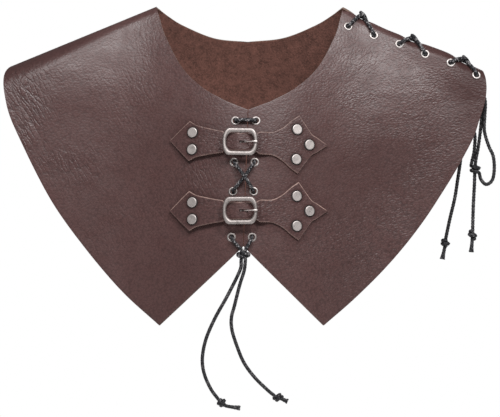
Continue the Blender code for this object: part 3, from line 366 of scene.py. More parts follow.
class LeatherSettings(bpy.types.PropertyGroup):
    """Colours and surface of the leather."""

    colour: FloatVectorProperty(
        name="Leather colour", description="Grain side of the leather", subtype="COLOR", min=0, max=1,
        default=(0.087, 0.0405, 0.0380))
    deep_colour: FloatVectorProperty(
        name="Pore colour", description="Leather in its pores and creases", subtype="COLOR", min=0, max=1,
        default=(0.040, 0.018, 0.017))
    suede_colour: FloatVectorProperty(
        name="Suede colour", description="Flesh side of the leather", subtype="COLOR", min=0, max=1,
        default=(0.180, 0.078, 0.060))
    edge_colour: FloatVectorProperty(
        name="Cut edge colour", description="Raw cut edge of the panels", subtype="COLOR", min=0, max=1,
        default=(0.260, 0.165, 0.130))
    strap_edge_colour: FloatVectorProperty(
        name="Strap edge colour", description="Pale raw edge of the straps", subtype="COLOR", min=0, max=1,
        default=(0.520, 0.350, 0.300))
    grain_size: FloatProperty(
        name="Grain size", description="Size of one pebble of the grain", subtype="DISTANCE", unit="LENGTH",
        default=0.0021)
    grain_depth: FloatProperty(
        name="Grain depth", description="Depth of the grain between pebbles", subtype="DISTANCE",
        unit="LENGTH", default=0.00020)
    crease_depth: FloatProperty(
        name="Crease depth", description="Depth of the long creases", subtype="DISTANCE", unit="LENGTH",
        default=0.00036)
    roughness: FloatProperty(
        name="Roughness", description="Roughness of the finished grain side", subtype="FACTOR", min=0, max=1,
        default=0.42)
    columns: IntProperty(
        name="Columns", description="Columns of faces across half a panel", min=20, max=160, default=104)
    rows: IntProperty(
        name="Rows", description="Rows of faces down a panel", min=20, max=160, default=104)


class MetalSettings(bpy.types.PropertyGroup):
    """Colours and finish of the metal fittings."""

    nickel_colour: FloatVectorProperty(
        name="Nickel colour", description="Worn antique nickel of buckles and eyelets", subtype="COLOR",
        min=0, max=1, default=(0.43, 0.385, 0.37))
    cap_colour: FloatVectorProperty(
        name="Rivet colour", description="Flat rivet caps", subtype="COLOR", min=0, max=1,
        default=(0.60, 0.545, 0.525))
    tarnish_colour: FloatVectorProperty(
        name="Tarnish colour", description="Dark tarnish of the fittings", subtype="COLOR", min=0, max=1,
        default=(0.09, 0.08, 0.075))
    roughness: FloatProperty(
        name="Roughness", description="Roughness of the worn metal", subtype="FACTOR", min=0, max=1,
        default=0.42)
    round_steps: IntProperty(
        name="Round steps", description="Faces round an eyelet or a rivet", min=12, max=96, default=48)


class CordSettings(bpy.types.PropertyGroup):
    """Size, braid and colours of the cords."""

    diameter: FloatProperty(
        name="Cord diameter", description="Diameter of every cord", subtype="DISTANCE", unit="LENGTH",
        default=cord_size)
    braid_pitch: FloatProperty(
        name="Braid pitch", description="Length in which a strand goes once round the cord",
        subtype="DISTANCE", unit="LENGTH", default=0.0125)
    colour: FloatVectorProperty(
        name="Cord colour", description="Waxed black yarn", subtype="COLOR", min=0, max=1,
        default=(0.010, 0.0095, 0.012))
    # Pale flecks on the strands' crests: partly rubbed yarn, partly painted highlight
    fleck_and_highlight_colour: FloatVectorProperty(
        name="Fleck colour", description="Pale flecks where the yarn is rubbed", subtype="COLOR",
        min=0, max=1, default=(0.50, 0.47, 0.48))


class StudioSettings(bpy.types.PropertyGroup):
    """Camera, lights and floor."""

    picture_width: FloatProperty(
        name="Picture width", description="Width that the picture shows at the armour", subtype="DISTANCE",
        unit="LENGTH", default=0.5250)
    distance: FloatProperty(
        name="Camera distance", description="Distance from the camera to the armour", subtype="DISTANCE",
        unit="LENGTH", default=12)
    key_power: FloatProperty(
        name="Key power", description="Power of the soft light above at the left", unit="POWER", default=34)
    fill_power: FloatProperty(
        name="Fill power", description="Power of the soft light above at the right", unit="POWER", default=36)
    back_power: FloatProperty(
        name="Back power", description="Power of the soft light behind", unit="POWER", default=16)
    ambient: FloatProperty(
        name="Ambient light", description="Strength of the even light from all round", default=0.20)
    floor_colour: FloatVectorProperty(
        name="Floor colour", description="Plain pale floor", subtype="COLOR", min=0, max=1,
        default=(0.80, 0.80, 0.80))


# The surface that the leather follows


def mix(first, second, share):
    """The value that lies that share of the way from first to second."""
    return first + (second - first) * share


def ease(share):
    """A smooth step from 0 to 1."""
    share = min(1.0, max(0.0, share))
    return share * share * (3 - 2 * share)


def table_value(table, share):
    """The value of a table of (place, value) shares at a place."""
    places, values = zip(*table)
    return float(np.interp(share, places, values))


def fine_line(points, steps=16):
    """Many points on a smooth curve through the given points."""
    knots = np.array([tuple(p) for p in points], float)
    ends = np.concatenate([[2 * knots[0] - knots[1]], knots, [2 * knots[-1] - knots[-2]]])
    fine = []
    for i in range(len(knots) - 1):
        a, b, c, d = ends[i], ends[i + 1], ends[i + 2], ends[i + 3]
        square = 2 * a - 5 * b + 4 * c - d
        cube = 3 * b - a - 3 * c + d
        for u in np.linspace(0, 1, steps, endpoint=False):
            fine.append(0.5 * (2 * b + (c - a) * u + square * u**2 + cube * u**3))
    fine.append(knots[-1])
    return np.array(fine)


def along_line(line, places):
    """Points on a line: a count of even ones, or shares of its length."""
    line = np.array([tuple(p) for p in line], float)
    along = np.concatenate([[0], np.cumsum(np.linalg.norm(np.diff(line, axis=0), axis=1))])
    shares = np.linspace(0, 1, places) if isinstance(places, int) else np.array(places)
    return np.stack([np.interp(along[-1] * shares, along, line[:, k]) for k in range(line.shape[1])], axis=1)


def line_length(points):
    """The length of the straight runs between the points."""
    line = np.array([tuple(p) for p in points], float)
    return float(np.linalg.norm(np.diff(line, axis=0), axis=1).sum())


def ridge_end(side):
    """How far out the shoulder ridge ends."""
    if side == LEFT:
        return shoulder_reach_left * ridge_end_left_share
    return shoulder_reach_right * ridge_end_right_share


def neck_half(side):
    """How far out the ridge starts beside the neck."""
    return neck_half_left if side == LEFT else neck_half_right


def ridge_slope(side):
    """How steeply the shoulder ridge falls outwards."""
    fall = ridge_fall_left if side == LEFT else ridge_fall_right
    return fall / (ridge_end(side) - neck_half(side))


def shoulder_eyelet_places():
    """X of each shoulder eyelet."""
    return [shoulder_eyelet_first + i * shoulder_eyelet_pitch for i in range(len(shoulder_eyelet_drops))]


def crossing_places():
    """X of each place where the shoulder lace crosses the ridge."""
    places = shoulder_eyelet_places()
    return [(places[i] + places[i + 1]) / 2 for i in range(0, len(shoulder_eyelet_drops), 2)]


PULLS = crossing_places()
CROSSING_SHARES = (0.42, 0.64, 0.86)


def ridge_height(x):
    """Height of the smooth ridge line, which runs on as a low dome over the neck opening."""
    side = LEFT if x < 0 else RIGHT
    slope = ridge_slope(side)
    neck = neck_half(side)
    out = abs(x)
    wave = 0.0
    if side == RIGHT:
        wave = sum(rise * math.exp(-(((x - place) / width) ** 2)) for place, width, rise in ridge_waves)
    if out >= ridge_blend:
        return slope * (neck - out) + wave
    mean = (ridge_slope(LEFT) + ridge_slope(RIGHT)) / 2
    slope = mix(mean, slope, out / ridge_blend)
    neck = mix((neck_half_left + neck_half_right) / 2, neck, out / ridge_blend)
    return slope * (neck - ridge_blend) + slope * (ridge_blend**2 - out**2) / (2 * ridge_blend) + wave


def pull(x, drop):
    """How far the laces pull the leather down near a crossing."""
    near = sum(math.exp(-(((x - place) / pull_width) ** 2)) for place in PULLS)
    return pull_dip * near * math.exp(-max(drop, 0.0) / pull_depth)


def fold_radius(x):
    """Radius of the fold over the ridge."""
    side = LEFT if x < 0 else RIGHT
    end = fold_radius_left if side == LEFT else fold_radius_right
    share = (abs(x) - neck_half(side)) / (ridge_end(side) - neck_half(side))
    return mix(fold_radius_neck, end, ease(share))


def stand_off(x, drop, face):
    """How far the outer face lies from the ridge's plane, at a drop below the ridge."""
    spread = chest_spread if face == FRONT else back_spread
    spread = mix(shoulder_spread, spread, math.exp(-((x / chest_width) ** 2)))
    radius = fold_radius(x)
    drop = max(drop, 0.0)
    rounded = 1 - min(drop, radius) / radius
    return radius * math.sqrt(max(0.0, 1 - rounded**2)) + spread * (1 - math.exp(-drop / spread_depth))


def outer_point(x, drop, face, lift=0.0):
    """A point on the outer face, or lifted off it, at x and a drop below the ridge."""
    place = Vector((x, face * stand_off(x, drop, face), ridge_height(x) - drop - pull(x, drop)))
    if lift:
        place += lift * outer_normal(x, drop, face)
    return place


def outer_normal(x, drop, face):
    """The direction out of the leather's outer face."""
    step = leather_thickness / 4
    low = max(drop - step, 0.0)
    down = outer_point(x, drop + step, face) - outer_point(x, low, face)
    across = outer_point(x + step, drop, face) - outer_point(x - step, drop, face)
    normal = across.cross(down) if face == BACK else down.cross(across)
    return normal.normalized()


def drop_of_height(x, z):
    """The drop below the ridge at which the outer face has height z."""
    drop = ridge_height(x) - z
    for _ in range(8):
        drop = ridge_height(x) - z - pull(x, drop)
    return max(drop, 0.0)


def arc_of_drop(x, drop, face):
    """The distance along the leather from the ridge to a drop below it."""
    line = [outer_point(x, drop * i / 24, face) for i in range(25)]
    return sum((b - a).length for a, b in zip(line, line[1:]))


def drop_of_arc(x, arc, face):
    """The drop below the ridge at a distance along the leather from the ridge."""
    gone = 0.0
    drop = 0.0
    step = fold_radius_neck / 40
    last = outer_point(x, 0.0, face)
    while gone < arc:
        drop += step
        place = outer_point(x, drop, face)
        gone += (place - last).length
        last = place
    return drop


def local_frame(x, drop, face):
    """A matrix at a place on the outer face: X across, Y up along the leather, Z out of it."""
    place = outer_point(x, drop, face)
    out = outer_normal(x, drop, face)
    across = Vector((-face, 0, 0))
    across = (across - out * across.dot(out)).normalized()
    up = out.cross(across)
    made = Matrix((across, up, out)).transposed().to_4x4()
    made.translation = place
    return made


def seam_dip(x):
    """How far the right front panel's edge lies below the ridge."""
    out = (x - neck_half_right) / corner_dip_length
    return corner_dip * max(0.0, 1 - max(0.0, out)) ** 2


def centre_shift(z, side):
    """X of the centre opening's edge, which leans a little to the left as it goes down."""
    share = (-z - front_neck_drop) / (notch_drop - front_neck_drop)
    return side * centre_gap / 2 - notch_shift * share


def edge_drop(x, side, face):
    """How far below the ridge line a panel's top edge lies along the shoulder."""
    if side == LEFT:
        return 0.0
    gap = drop_of_arc(x, seam_half_gap, face)
    return max(gap, seam_dip(x)) if face == FRONT else gap


def front_eyelet_places(side):
    """Places of the eyelets down one side of the centre opening."""
    inset = eyelet_inset_left if side == LEFT else eyelet_inset_right
    places = []
    for drop in front_eyelet_drops:
        x = centre_shift(-drop, side) + side * inset
        places.append((x, drop_of_height(x, -drop), FRONT))
    return places


def shoulder_eyelet_row(face):
    """Places of the eyelets along one edge of the right shoulder."""
    places = []
    for x, drop in zip(shoulder_eyelet_places(), shoulder_eyelet_drops):
        places.append((x, drop, face))
    return places


EYELETS = {
    "eyelet_left": front_eyelet_places(LEFT),
    "eyelet_right": front_eyelet_places(RIGHT),
    "eyelet_shoulder_front": shoulder_eyelet_row(FRONT),
    "eyelet_shoulder_back": shoulder_eyelet_row(BACK),
}


# Meshes and materials


def link(name, data):
    """A new object for a mesh or a curve."""
    made = bpy.data.objects.new(name, data)
    bpy.context.scene.collection.objects.link(made)
    return made


def settle(name, bm, looks, smooth=40):
    """Ends a bmesh as a smooth object with its materials."""
    mesh = bpy.data.meshes.new(name)
    bm.to_mesh(mesh)
    bm.free()
    for look in looks:
        mesh.materials.append(look)
    mesh.shade_smooth()
    mesh.set_sharp_from_angle(angle=math.radians(smooth))
    return link(name, mesh)


def bake(item, smooth=40):
    """Makes an object's modifiers or curve its own mesh, with its place in that mesh."""
    bpy.context.view_layer.update()
    mesh = bpy.data.meshes.new_from_object(item.evaluated_get(bpy.context.evaluated_depsgraph_get()))
    mesh.transform(item.matrix_world)
    name = item.name
    bpy.data.objects.remove(item, do_unlink=True)
    mesh.shade_smooth()
    mesh.set_sharp_from_angle(angle=math.radians(smooth))
    made = link(name, mesh)
    made.name = name
    return made


class Nodes:
    """Makes and joins the nodes of one material."""

    def __init__(self, name):
        self.material = bpy.data.materials.new(name)
        self.material.use_nodes = True
        self.tree = self.material.node_tree
        self.shader = self.tree.nodes["Principled BSDF"]
        self.place = self.add("ShaderNodeTexCoord").outputs["Object"]

    def add(self, kind, inputs=(), **settings):
        """A node with its settings and its inputs, which are values or other nodes' outputs."""
        node = self.tree.nodes.new(kind)
        for key, value in settings.items():
            setattr(node, key, value)
        for key, value in dict(inputs).items():
            self.put(node.inputs[key], value)
        return node

    def put(self, socket, value):
        """Joins an output to a socket, or sets the socket."""
        if isinstance(value, bpy.types.NodeSocket):
            self.tree.links.new(value, socket)
        elif hasattr(value, "__len__") and socket.type == "RGBA":
            socket.default_value = (*value[:3], 1.0)
        else:
            socket.default_value = value

    def turned(self, degrees, size, vector):
        """Coordinates in cells of a size along axes that are turned about Y, rising to the right."""
        node = self.add("ShaderNodeMapping", {
            "Vector": vector, "Rotation": (0, -math.radians(degrees), 0), "Scale": size,
        }, vector_type="TEXTURE")
        return node.outputs[0]

    def noise(self, scale, detail=2.0, rough=0.5):
        """A noise value."""
        node = self.add("ShaderNodeTexNoise", {
            "Vector": self.place, "Scale": scale, "Detail": detail, "Roughness": rough,
        })
        return node.outputs["Fac"]

    def shaken(self, scale, reach):
        """The coordinates moved about a little, so that a cell pattern loses its straight lines."""
        cloud = self.add("ShaderNodeTexNoise", {"Vector": self.place, "Scale": scale, "Detail": 2.0})
        moves = self.add("ShaderNodeVectorMath", {0: cloud.outputs["Color"], 3: reach}, operation="SCALE")
        return self.add("ShaderNodeVectorMath", {0: self.place, 1: moves.outputs[0]}).outputs[0]

    def cells(self, scale, vector):
        """The distance from the middle of a cell."""
        node = self.add("ShaderNodeTexVoronoi", {"Vector": vector, "Scale": scale}, feature="F1")
        return node.outputs["Distance"]

    def cracks(self, degrees, size, vector):
        """The distance from the edge of cells of a size that are turned by an angle."""
        turned = self.turned(degrees, size, vector)
        node = self.add("ShaderNodeTexVoronoi", {"Vector": turned, "Scale": 1.0}, feature="DISTANCE_TO_EDGE")
        return node.outputs["Distance"]

    def map(self, value, low, high, to_low=0.0, to_high=1.0):
        """A value carried from one range to another."""
        node = self.add("ShaderNodeMapRange", {
            0: value, "From Min": low, "From Max": high, "To Min": to_low, "To Max": to_high,
        })
        return node.outputs[0]

    def math(self, operation, first, second=0.0):
        """Arithmetic on two values."""
        return self.add("ShaderNodeMath", {0: first, 1: second}, operation=operation).outputs[0]

    def between(self, share, first, second):
        """A number between two."""
        node = self.add("ShaderNodeMix", {0: share, 2: first, 3: second}, data_type="FLOAT")
        return node.outputs[0]

    def blend(self, share, first, second):
        """A colour between two."""
        node = self.add("ShaderNodeMix", {0: share, 6: first, 7: second}, data_type="RGBA")
        return node.outputs[2]

    def bump(self, height, distance, strength=1.0, under=None):
        """A normal from a height."""
        inputs = {"Height": height, "Distance": distance, "Strength": strength}
        if under is not None:
            inputs["Normal"] = under
        return self.add("ShaderNodeBump", inputs).outputs[0]

    def attribute(self, name):
        """A value painted on the mesh."""
        return self.add("ShaderNodeAttribute", attribute_name=name).outputs["Fac"]

    def set(self, **values):
        """Sets the shader's sockets, named with underscores for spaces."""
        for key, value in values.items():
            self.put(self.shader.inputs[key.replace("_", " ")], value)
        return self.material


def toned(colour, share):
    """A colour times a number, darker below 1 and paler above it."""
    return [c * share for c in colour]


def grain_lines(n, settings, wobble):
    """The leather's creases: 1 on the flat, towards 0 in a crease, with three leans."""
    size = settings.grain_size
    lean = n.attribute("lean")
    falling = n.cracks(-62, (size * 9.0, size * 3.0, size * 2.0), wobble)
    rising = n.cracks(10, (size * 2.8, size * 1.25, size * 1.25), wobble)
    steep = n.cracks(48, (size * 4.0, size * 1.5, size * 1.5), wobble)
    lines = n.between(lean, n.map(falling, 0.0, 0.18), n.map(rising, 0.0, 0.30, 0.45, 1.0))
    return n.between(n.map(lean, 1.0, 2.0), lines, n.map(steep, 0.0, 0.25, 0.25, 1.0))


def leather_look(settings, name):
    """Pebbled, creased leather with a worn satin finish, painted shade, and pale strap rims that are partly
    wear and partly painted highlight.
    """
    n = Nodes(name)
    size = settings.grain_size
    wobble = n.shaken(0.30 / size, size * 1.3)
    strong = n.attribute("crease")
    pebble = n.cells(1.0, n.turned(12, (size * 1.35, size, size), wobble))
    fine = n.cells(2.6 / size, wobble)
    patchy = n.map(n.noise(24, 2.0), 0.30, 0.58)
    creases = n.between(n.math("MULTIPLY", strong, patchy), 1.0, grain_lines(n, settings, wobble))
    grain_share = n.map(strong, 0.0, 1.0, 0.65, 1.0)
    grain = n.math("ADD", n.math("MULTIPLY", pebble, -1.0), n.math("MULTIPLY", fine, -0.30))
    grain = n.math("MULTIPLY", grain, grain_share)
    under = n.bump(n.noise(34, 3.0, 0.55), 0.0013, 0.5)
    under = n.bump(creases, settings.crease_depth, 1.0, under)
    normal = n.bump(grain, settings.grain_depth, 1.0, under)
    tone = n.map(n.noise(7.0, 4.0, 0.6), 0.32, 0.70)
    colour = n.blend(tone, toned(settings.colour, 0.88), toned(settings.colour, 1.10))
    pores = n.math("MULTIPLY", n.map(pebble, 0.35, 0.80), grain_share)
    colour = n.blend(n.math("MULTIPLY", pores, 0.70), colour, settings.deep_colour)
    dark_lines = n.math("MULTIPLY", n.math("SUBTRACT", 1.0, creases), 0.45)
    colour = n.blend(dark_lines, colour, settings.deep_colour)
    # Painted shade from the shade attribute: darker colour here and less shine below
    shade = n.attribute("shade")
    colour = n.blend(n.math("MULTIPLY", shade, 0.80), colour, settings.deep_colour)
    # Pale strap rims: worn raw edge, paler along the straps' top edges as painted highlight
    worn = n.map(n.noise(130, 3.0, 0.6), 0.30, 0.62, 0.25, 0.95)
    colour = n.blend(n.math("MULTIPLY", n.attribute("rim"), worn), colour, settings.strap_edge_colour)
    rough = n.map(n.noise(60, 3.0), 0.3, 0.7, settings.roughness - 0.05, settings.roughness + 0.07)
    shine = n.map(shade, 0.0, 1.0, 0.5, 0.15)
    return n.set(Base_Color=colour, Roughness=rough, Normal=normal, Specular_IOR_Level=shine)


def suede_look(settings):
    """Napped flesh side of the leather."""
    n = Nodes("suede_inside")
    nap = n.noise(520, 3.0, 0.7)
    cloud = n.noise(110, 4.0, 0.70)
    patch = n.noise(14, 3.0, 0.6)
    dark = toned(settings.suede_colour, 0.36)
    light = toned(settings.suede_colour, 1.75)
    colour = n.blend(n.map(cloud, 0.34, 0.68), dark, settings.suede_colour)
    colour = n.blend(n.math("MULTIPLY", n.map(nap, 0.42, 0.72), 0.5), colour, light)
    colour = n.blend(n.map(patch, 0.3, 0.75, 0.0, 0.35), colour, dark)
    normal = n.bump(nap, 0.0005, 0.8, n.bump(cloud, 0.0012, 0.7))
    return n.set(
        Base_Color=colour, Roughness=0.92, Normal=normal, Specular_IOR_Level=0.18, Sheen_Weight=0.25,
        Sheen_Roughness=0.6, Sheen_Tint=(0.75, 0.52, 0.45))


def edge_look(name, pale, closed=0.0):
    """Raw cut edge: pale fibre with a darker dyed skin, and painted shade within a distance of the centre
    seam.
    """
    n = Nodes(name)
    fibre = n.noise(420, 3.0, 0.7)
    dyed = n.blend(n.map(n.noise(60, 2.0), 0.40, 0.62), toned(pale, 0.40), pale)
    colour = n.blend(n.map(fibre, 0.35, 0.70), toned(pale, 0.55), dyed)
    # Painted shade: the cut edges near the centre seam turn nearly black
    if closed:
        across = n.add("ShaderNodeSeparateXYZ", {0: n.place}).outputs[0]
        away = n.math("ABSOLUTE", n.math("ADD", across, notch_shift / 2))
        colour = n.blend(n.map(away, closed, closed * 1.3, 0.92, 0.0), colour, toned(pale, 0.10))
    return n.set(Base_Color=colour, Roughness=0.8, Normal=n.bump(fibre, 0.0003, 0.6))


def metal_look(settings, name, base, wear, pits):
    """Metal with shares of worn tarnish and of dark pits, and a soft tumbled shine."""
    n = Nodes(name)
    cloud = n.noise(220, 4.0, 0.6)
    speck = n.noise(1500, 3.0, 0.6)
    colour = n.blend(n.map(cloud, 0.52, 0.80, 0.0, wear), base, settings.tarnish_colour)
    colour = n.blend(n.map(speck, 0.55, 0.78, 0.0, pits), colour, toned(base, 0.55))
    rough = n.map(cloud, 0.3, 0.8, settings.roughness, settings.roughness + 0.22)
    normal = n.bump(speck, 0.00012, 0.5)
    return n.set(Base_Color=colour, Roughness=rough, Metallic=1.0, Normal=normal)


def cord_look(settings):
    """Waxed black yarn with pale flecks on the strands' crests, partly rubbed yarn and partly painted
    highlight, and fine filaments.
    """
    n = Nodes("braided_cord")
    rub = n.noise(360, 1.0, 0.5)
    strand = n.attribute("strand")
    high = n.math("MULTIPLY", n.map(rub, 0.55, 0.61), strand)
    thread = n.noise(3200, 2.0, 0.6)
    colour = n.blend(n.math("MULTIPLY", high, 0.9), settings.colour, settings.fleck_and_highlight_colour)
    colour = n.blend(n.map(thread, 0.4, 0.7, 0.0, 0.5), colour, toned(settings.colour, 1.7))
    return n.set(
        Base_Color=colour, Roughness=0.42, Normal=n.bump(thread, 0.00015, 0.8), Specular_IOR_Level=0.40,
        Sheen_Weight=0.05, Sheen_Roughness=0.4)


# Cords


def turning_frames(line):
    """Two directions across a line at each of its points, turning as little as possible."""
    tangents = np.gradient(line, axis=0)
    tangents /= np.linalg.norm(tangents, axis=1)[:, None]
    first = np.cross(tangents[0], (0.31, 0.87, 0.39))
    first /= np.linalg.norm(first)
    sides = []
    for tangent in tangents:
        first = first - tangent * np.dot(first, tangent)
        first /= np.linalg.norm(first)
        sides.append((first.copy(), np.cross(tangent, first)))
    return sides


def strands_of(name, lines, radius, sides=1):
    """One mesh of round strands along lines, each point with its own fullness."""
    curve = bpy.data.curves.new(name, "CURVE")
    curve.dimensions = "3D"
    curve.fill_mode = "FULL"
    curve.bevel_depth = radius
    curve.bevel_resolution = sides
    curve.use_fill_caps = True
    for line, fullness in lines:
        spline = curve.splines.new("POLY")
        spline.points.add(len(line) - 1)
        for point, place, full in zip(spline.points, line, fullness):
            point.co = (*place, 1)
            point.radius = full
    return bake(link(name, curve), smooth=60)


def braid(name, route, settings, look, fray=0.0, rubbed=0.3):
    """An eight-strand braid over a core along a route, which may end in a short fray."""
    length = line_length(route)
    waves = settings.braid_pitch / carriers
    count = max(8, int(length / waves * wave_points))
    line = along_line(route, count)
    frames = turning_frames(line)
    radius = settings.diameter / 2 * cord_fullness
    strand = radius * strand_share
    weave = radius * weave_share
    ring = radius - strand - weave
    lines = []
    for hand in (1, -1):
        for carrier in range(carriers):
            places = []
            for i, (point, (a, b)) in enumerate(zip(line, frames)):
                s = length * i / (count - 1)
                wave = math.cos(2 * math.pi * s / waves)
                turned = hand * 2 * math.pi * s / settings.braid_pitch
                angle = turned + 2 * math.pi * carrier / carriers
                frayed = max(0.0, (s - length * fray_start_share) / (length * fray_run_share))
                spread = 1 + fray * frayed**2
                out = (ring + hand * weave * wave) * spread
                places.append(point + out * (a * math.cos(angle) + b * math.sin(angle)))
            lines.append((places, [1.0] * count))
    core = along_line(route, max(4, count // 6))
    lines.append((core, [ring / strand] * len(core)))
    made = strands_of(name, lines, strand)
    middle = KDTree(len(line))
    for i, point in enumerate(line):
        middle.insert(point, i)
    middle.balance()
    # Paints the strands' crests for the pale flecks, which are partly rubbed yarn and partly painted
    # highlight
    crest = radius * crest_share
    low = crest * 0.86
    paint(made, "strand", lambda place: rubbed * ease((middle.find(place)[2] - low) / (crest * 0.14)))
    made.data.materials.append(look)
    return made


def paint(item, name, value):
    """Paints a value on a mesh from each point's place."""
    layer = item.data.attributes.new(name, "FLOAT", "POINT")
    values = [value(v.co) for v in item.data.vertices]
    layer.data.foreach_set("value", values)


def seat(place):
    """An eyelet's frame and the levels of the leather's two faces there."""
    return (local_frame(*place), 0.0, -leather_thickness)


def eyelet_turn(place, toward, outside):
    """Points where a cord turns over an eyelet's rim from a neighbour's direction into its bore."""
    at, top, bottom = seat(place)
    away = at.inverted() @ toward
    away = Vector((away.x, away.y, 0)).normalized()
    rim = eyelet_bore / 2
    level = top + eyelet_rise if outside else bottom - eyelet_rise
    sign = 1 if outside else -1
    radius = (cord_size / 2 + cord_gap) * eyelet_turn_share
    points = []
    for degrees in (90, 45, 0):
        angle = math.radians(degrees)
        out = rim - radius * math.cos(angle)
        points.append(at @ (away * out + Vector((0, 0, level + sign * radius * math.sin(angle)))))
    return points


def lace_route(passes, spans):
    """A cord through eyelets: passes are (place, goes inward), spans the points between them."""
    points = list(spans[0])
    for i, (place, inward) in enumerate(passes):
        at, top, bottom = seat(place)
        end = at @ Vector((0, 0, bottom - eyelet_rise - cord_size / 2))
        following = spans[i + 1]
        turn_in = eyelet_turn(place, points[-1], inward) if points else [end]
        turn_out = eyelet_turn(place, following[0], not inward) if following else [end]
        points += turn_in + list(reversed(turn_out)) + list(following)
    return points


def over_leather(x, z, lift):
    """A cord point at a height above, or behind, the front's outer face."""
    return outer_point(x, drop_of_height(x, z), FRONT, lift)


def knot_depth():
    """How far in front of the ridge's plane the front knot lies."""
    return stand_off(0, drop_of_height(0, -notch_drop), FRONT) + cord_size / 2 + cord_gap


def front_lace_points():
    """The front lace's route from the knot, up both sides and back to the knot."""
    left = EYELETS["eyelet_left"]
    right = EYELETS["eyelet_right"]
    near = cord_size / 2 + cord_gap
    outside = near + eyelet_rise
    inside = -leather_thickness - near - eyelet_rise
    crossing = -(front_eyelet_drops[1] + front_eyelet_drops[2]) / 2
    middle = centre_shift(crossing, LEFT) - centre_gap

    def between(first, second, lift):
        return outer_point((first[0] + second[0]) / 2, (first[1] + second[1]) / 2, FRONT, lift)

    knot_top = -knot_drop + knot_height / 2 + cord_gap
    end_left = Vector((-notch_shift - exit_offset, -knot_depth(), knot_top))
    end_right = Vector((-notch_shift + exit_offset, -knot_depth(), knot_top))
    rise = Vector((0, 0, exit_offset))
    over = outside + cord_size + cord_gap * 2
    passes = [
        (left[3], True), (left[2], False), (right[1], True), (right[0], False),
        (left[0], True), (left[1], False), (right[2], True), (right[3], False),
    ]
    low_left = over_leather(left[3][0], -front_eyelet_drops[3], outside)
    low_right = over_leather(right[3][0], -front_eyelet_drops[3], outside)
    spans = [
        [end_left, end_left + rise, end_left.lerp(low_left, 0.55)],
        [between(left[3], left[2], inside)],
        [outer_point(middle, drop_of_height(middle, crossing), FRONT, outside)],
        [between(right[1], right[0], inside)],
        [between(right[0], left[0], outside)],
        [between(left[0], left[1], inside)],
        [outer_point(middle, drop_of_height(middle, crossing), FRONT, over)],
        [between(right[2], right[3], inside)],
        [end_right.lerp(low_right, 0.55), end_right + rise, end_right],
    ]
    return lace_route(passes, spans)


def shoulder_lace_points():
    """The shoulder lace's route, from one hanging end to the other."""
    front = EYELETS["eyelet_shoulder_front"]
    back = EYELETS["eyelet_shoulder_back"]
    near = cord_size / 2 + cord_gap
    outside = near + eyelet_rise * 0.5
    inside = -leather_thickness - near - eyelet_rise

    def crossing(first, second, raised):
        x = (first[0] + second[0]) / 2
        lift = near + (cord_size + 3 * cord_gap if raised else cord_gap)
        points = []
        for share in CROSSING_SHARES:
            at = mix(first[0], x, share)
            drop = drop_of_arc(at, arc_of_drop(*first) * (1 - share), first[2])
            points.append(outer_point(at, drop, first[2], mix(outside, lift, share**3)))
        points.append(outer_point(x, 0.0, FRONT) + Vector((0, 0, lift)))
        for share in reversed(CROSSING_SHARES):
            at = mix(second[0], x, share)
            drop = drop_of_arc(at, arc_of_drop(*second) * (1 - share), second[2])
            points.append(outer_point(at, drop, second[2], mix(outside, lift, share**3)))
        return points

    def inner(first, second):
        points = []
        for share in (0.35, 0.65):
            x = mix(first[0], second[0], share)
            points.append(outer_point(x, mix(first[1], second[1], share), first[2], inside))
        return points

    def start_bar(first, second):
        a = outer_point(first[0], first[1] * 0.7, FRONT, inside * 1.5)
        b = outer_point(second[0], second[1] * 0.7, BACK, inside * 1.5)
        low = mix(a.z, b.z, 0.5) - cord_size
        return [b, Vector((first[0], 0, low)), a]

    passes = [
        (front[5], False), (back[4], True), (back[3], False), (front[2], True),
        (front[1], False), (back[0], True), (front[0], False), (back[1], True),
        (back[2], False), (front[3], True), (front[4], False), (back[5], True),
    ]
    spans = [
        [],
        crossing(front[5], back[4], False),
        inner(back[4], back[3]),
        crossing(back[3], front[2], False),
        inner(front[2], front[1]),
        crossing(front[1], back[0], False),
        start_bar(front[0], back[0]),
        crossing(front[0], back[1], True),
        inner(back[1], back[2]),
        crossing(back[2], front[3], True),
        inner(front[3], front[4]),
        crossing(front[4], back[5], True),
        [],
    ]
    return lace_route(passes, spans)


def knot_exit(side):
    """Points where a cord leaves the front knot downwards."""
    x = -notch_shift + side * exit_offset
    low = -knot_drop - knot_height / 2 - cord_gap
    return [Vector((x, -knot_depth(), low)), Vector((x, -knot_depth(), low - cord_size / 2))]


def side_exit(face):
    """Points where a hanging end leaves the inside of the last shoulder eyelet."""
    place = EYELETS["eyelet_shoulder_front" if face == FRONT else "eyelet_shoulder_back"][-1]
    at, top, bottom = seat(place)
    inside = bottom - eyelet_rise - cord_size / 2 - cord_gap
    return [at @ Vector((0, 0, inside)), at @ Vector((0, 0, inside - cord_size / 2))]


def side_front_line():
    """The front hanging end: down, one and a half turns round the other end, up over a bight and down."""
    start = side_exit(FRONT)
    centre = Vector(hitch_centre)
    hitch = []
    steps = round(hitch_turns * hitch_steps)
    for i in range(steps + 1):
        angle = 2 * math.pi * hitch_turns * i / steps
        hitch.append(centre + Vector((
            hitch_radius * math.cos(angle), -hitch_radius * math.sin(angle), hitch_rise * (i / steps - 0.5),
        )))
    down = fine_line(start[1:] + [Vector(p) for p in side_front_route] + hitch[:1])
    up = fine_line(hitch[-1:] + [Vector(p) for p in side_front_return])
    line = [tuple(start[0])] + [tuple(p) for p in down]
    return line + [tuple(p) for p in hitch[1:-1]] + [tuple(p) for p in up]


def tip_line(route, tail):
    """The line from a hanging end through its stopper knot and out along its tail."""
    end = Vector(route[-1])
    onward = (end - Vector(route[-2])).normalized()
    points = [end + onward * cord_gap, end + onward * tip_knot_length * 0.5] + [Vector(p) for p in tail]
    return fine_line(points)


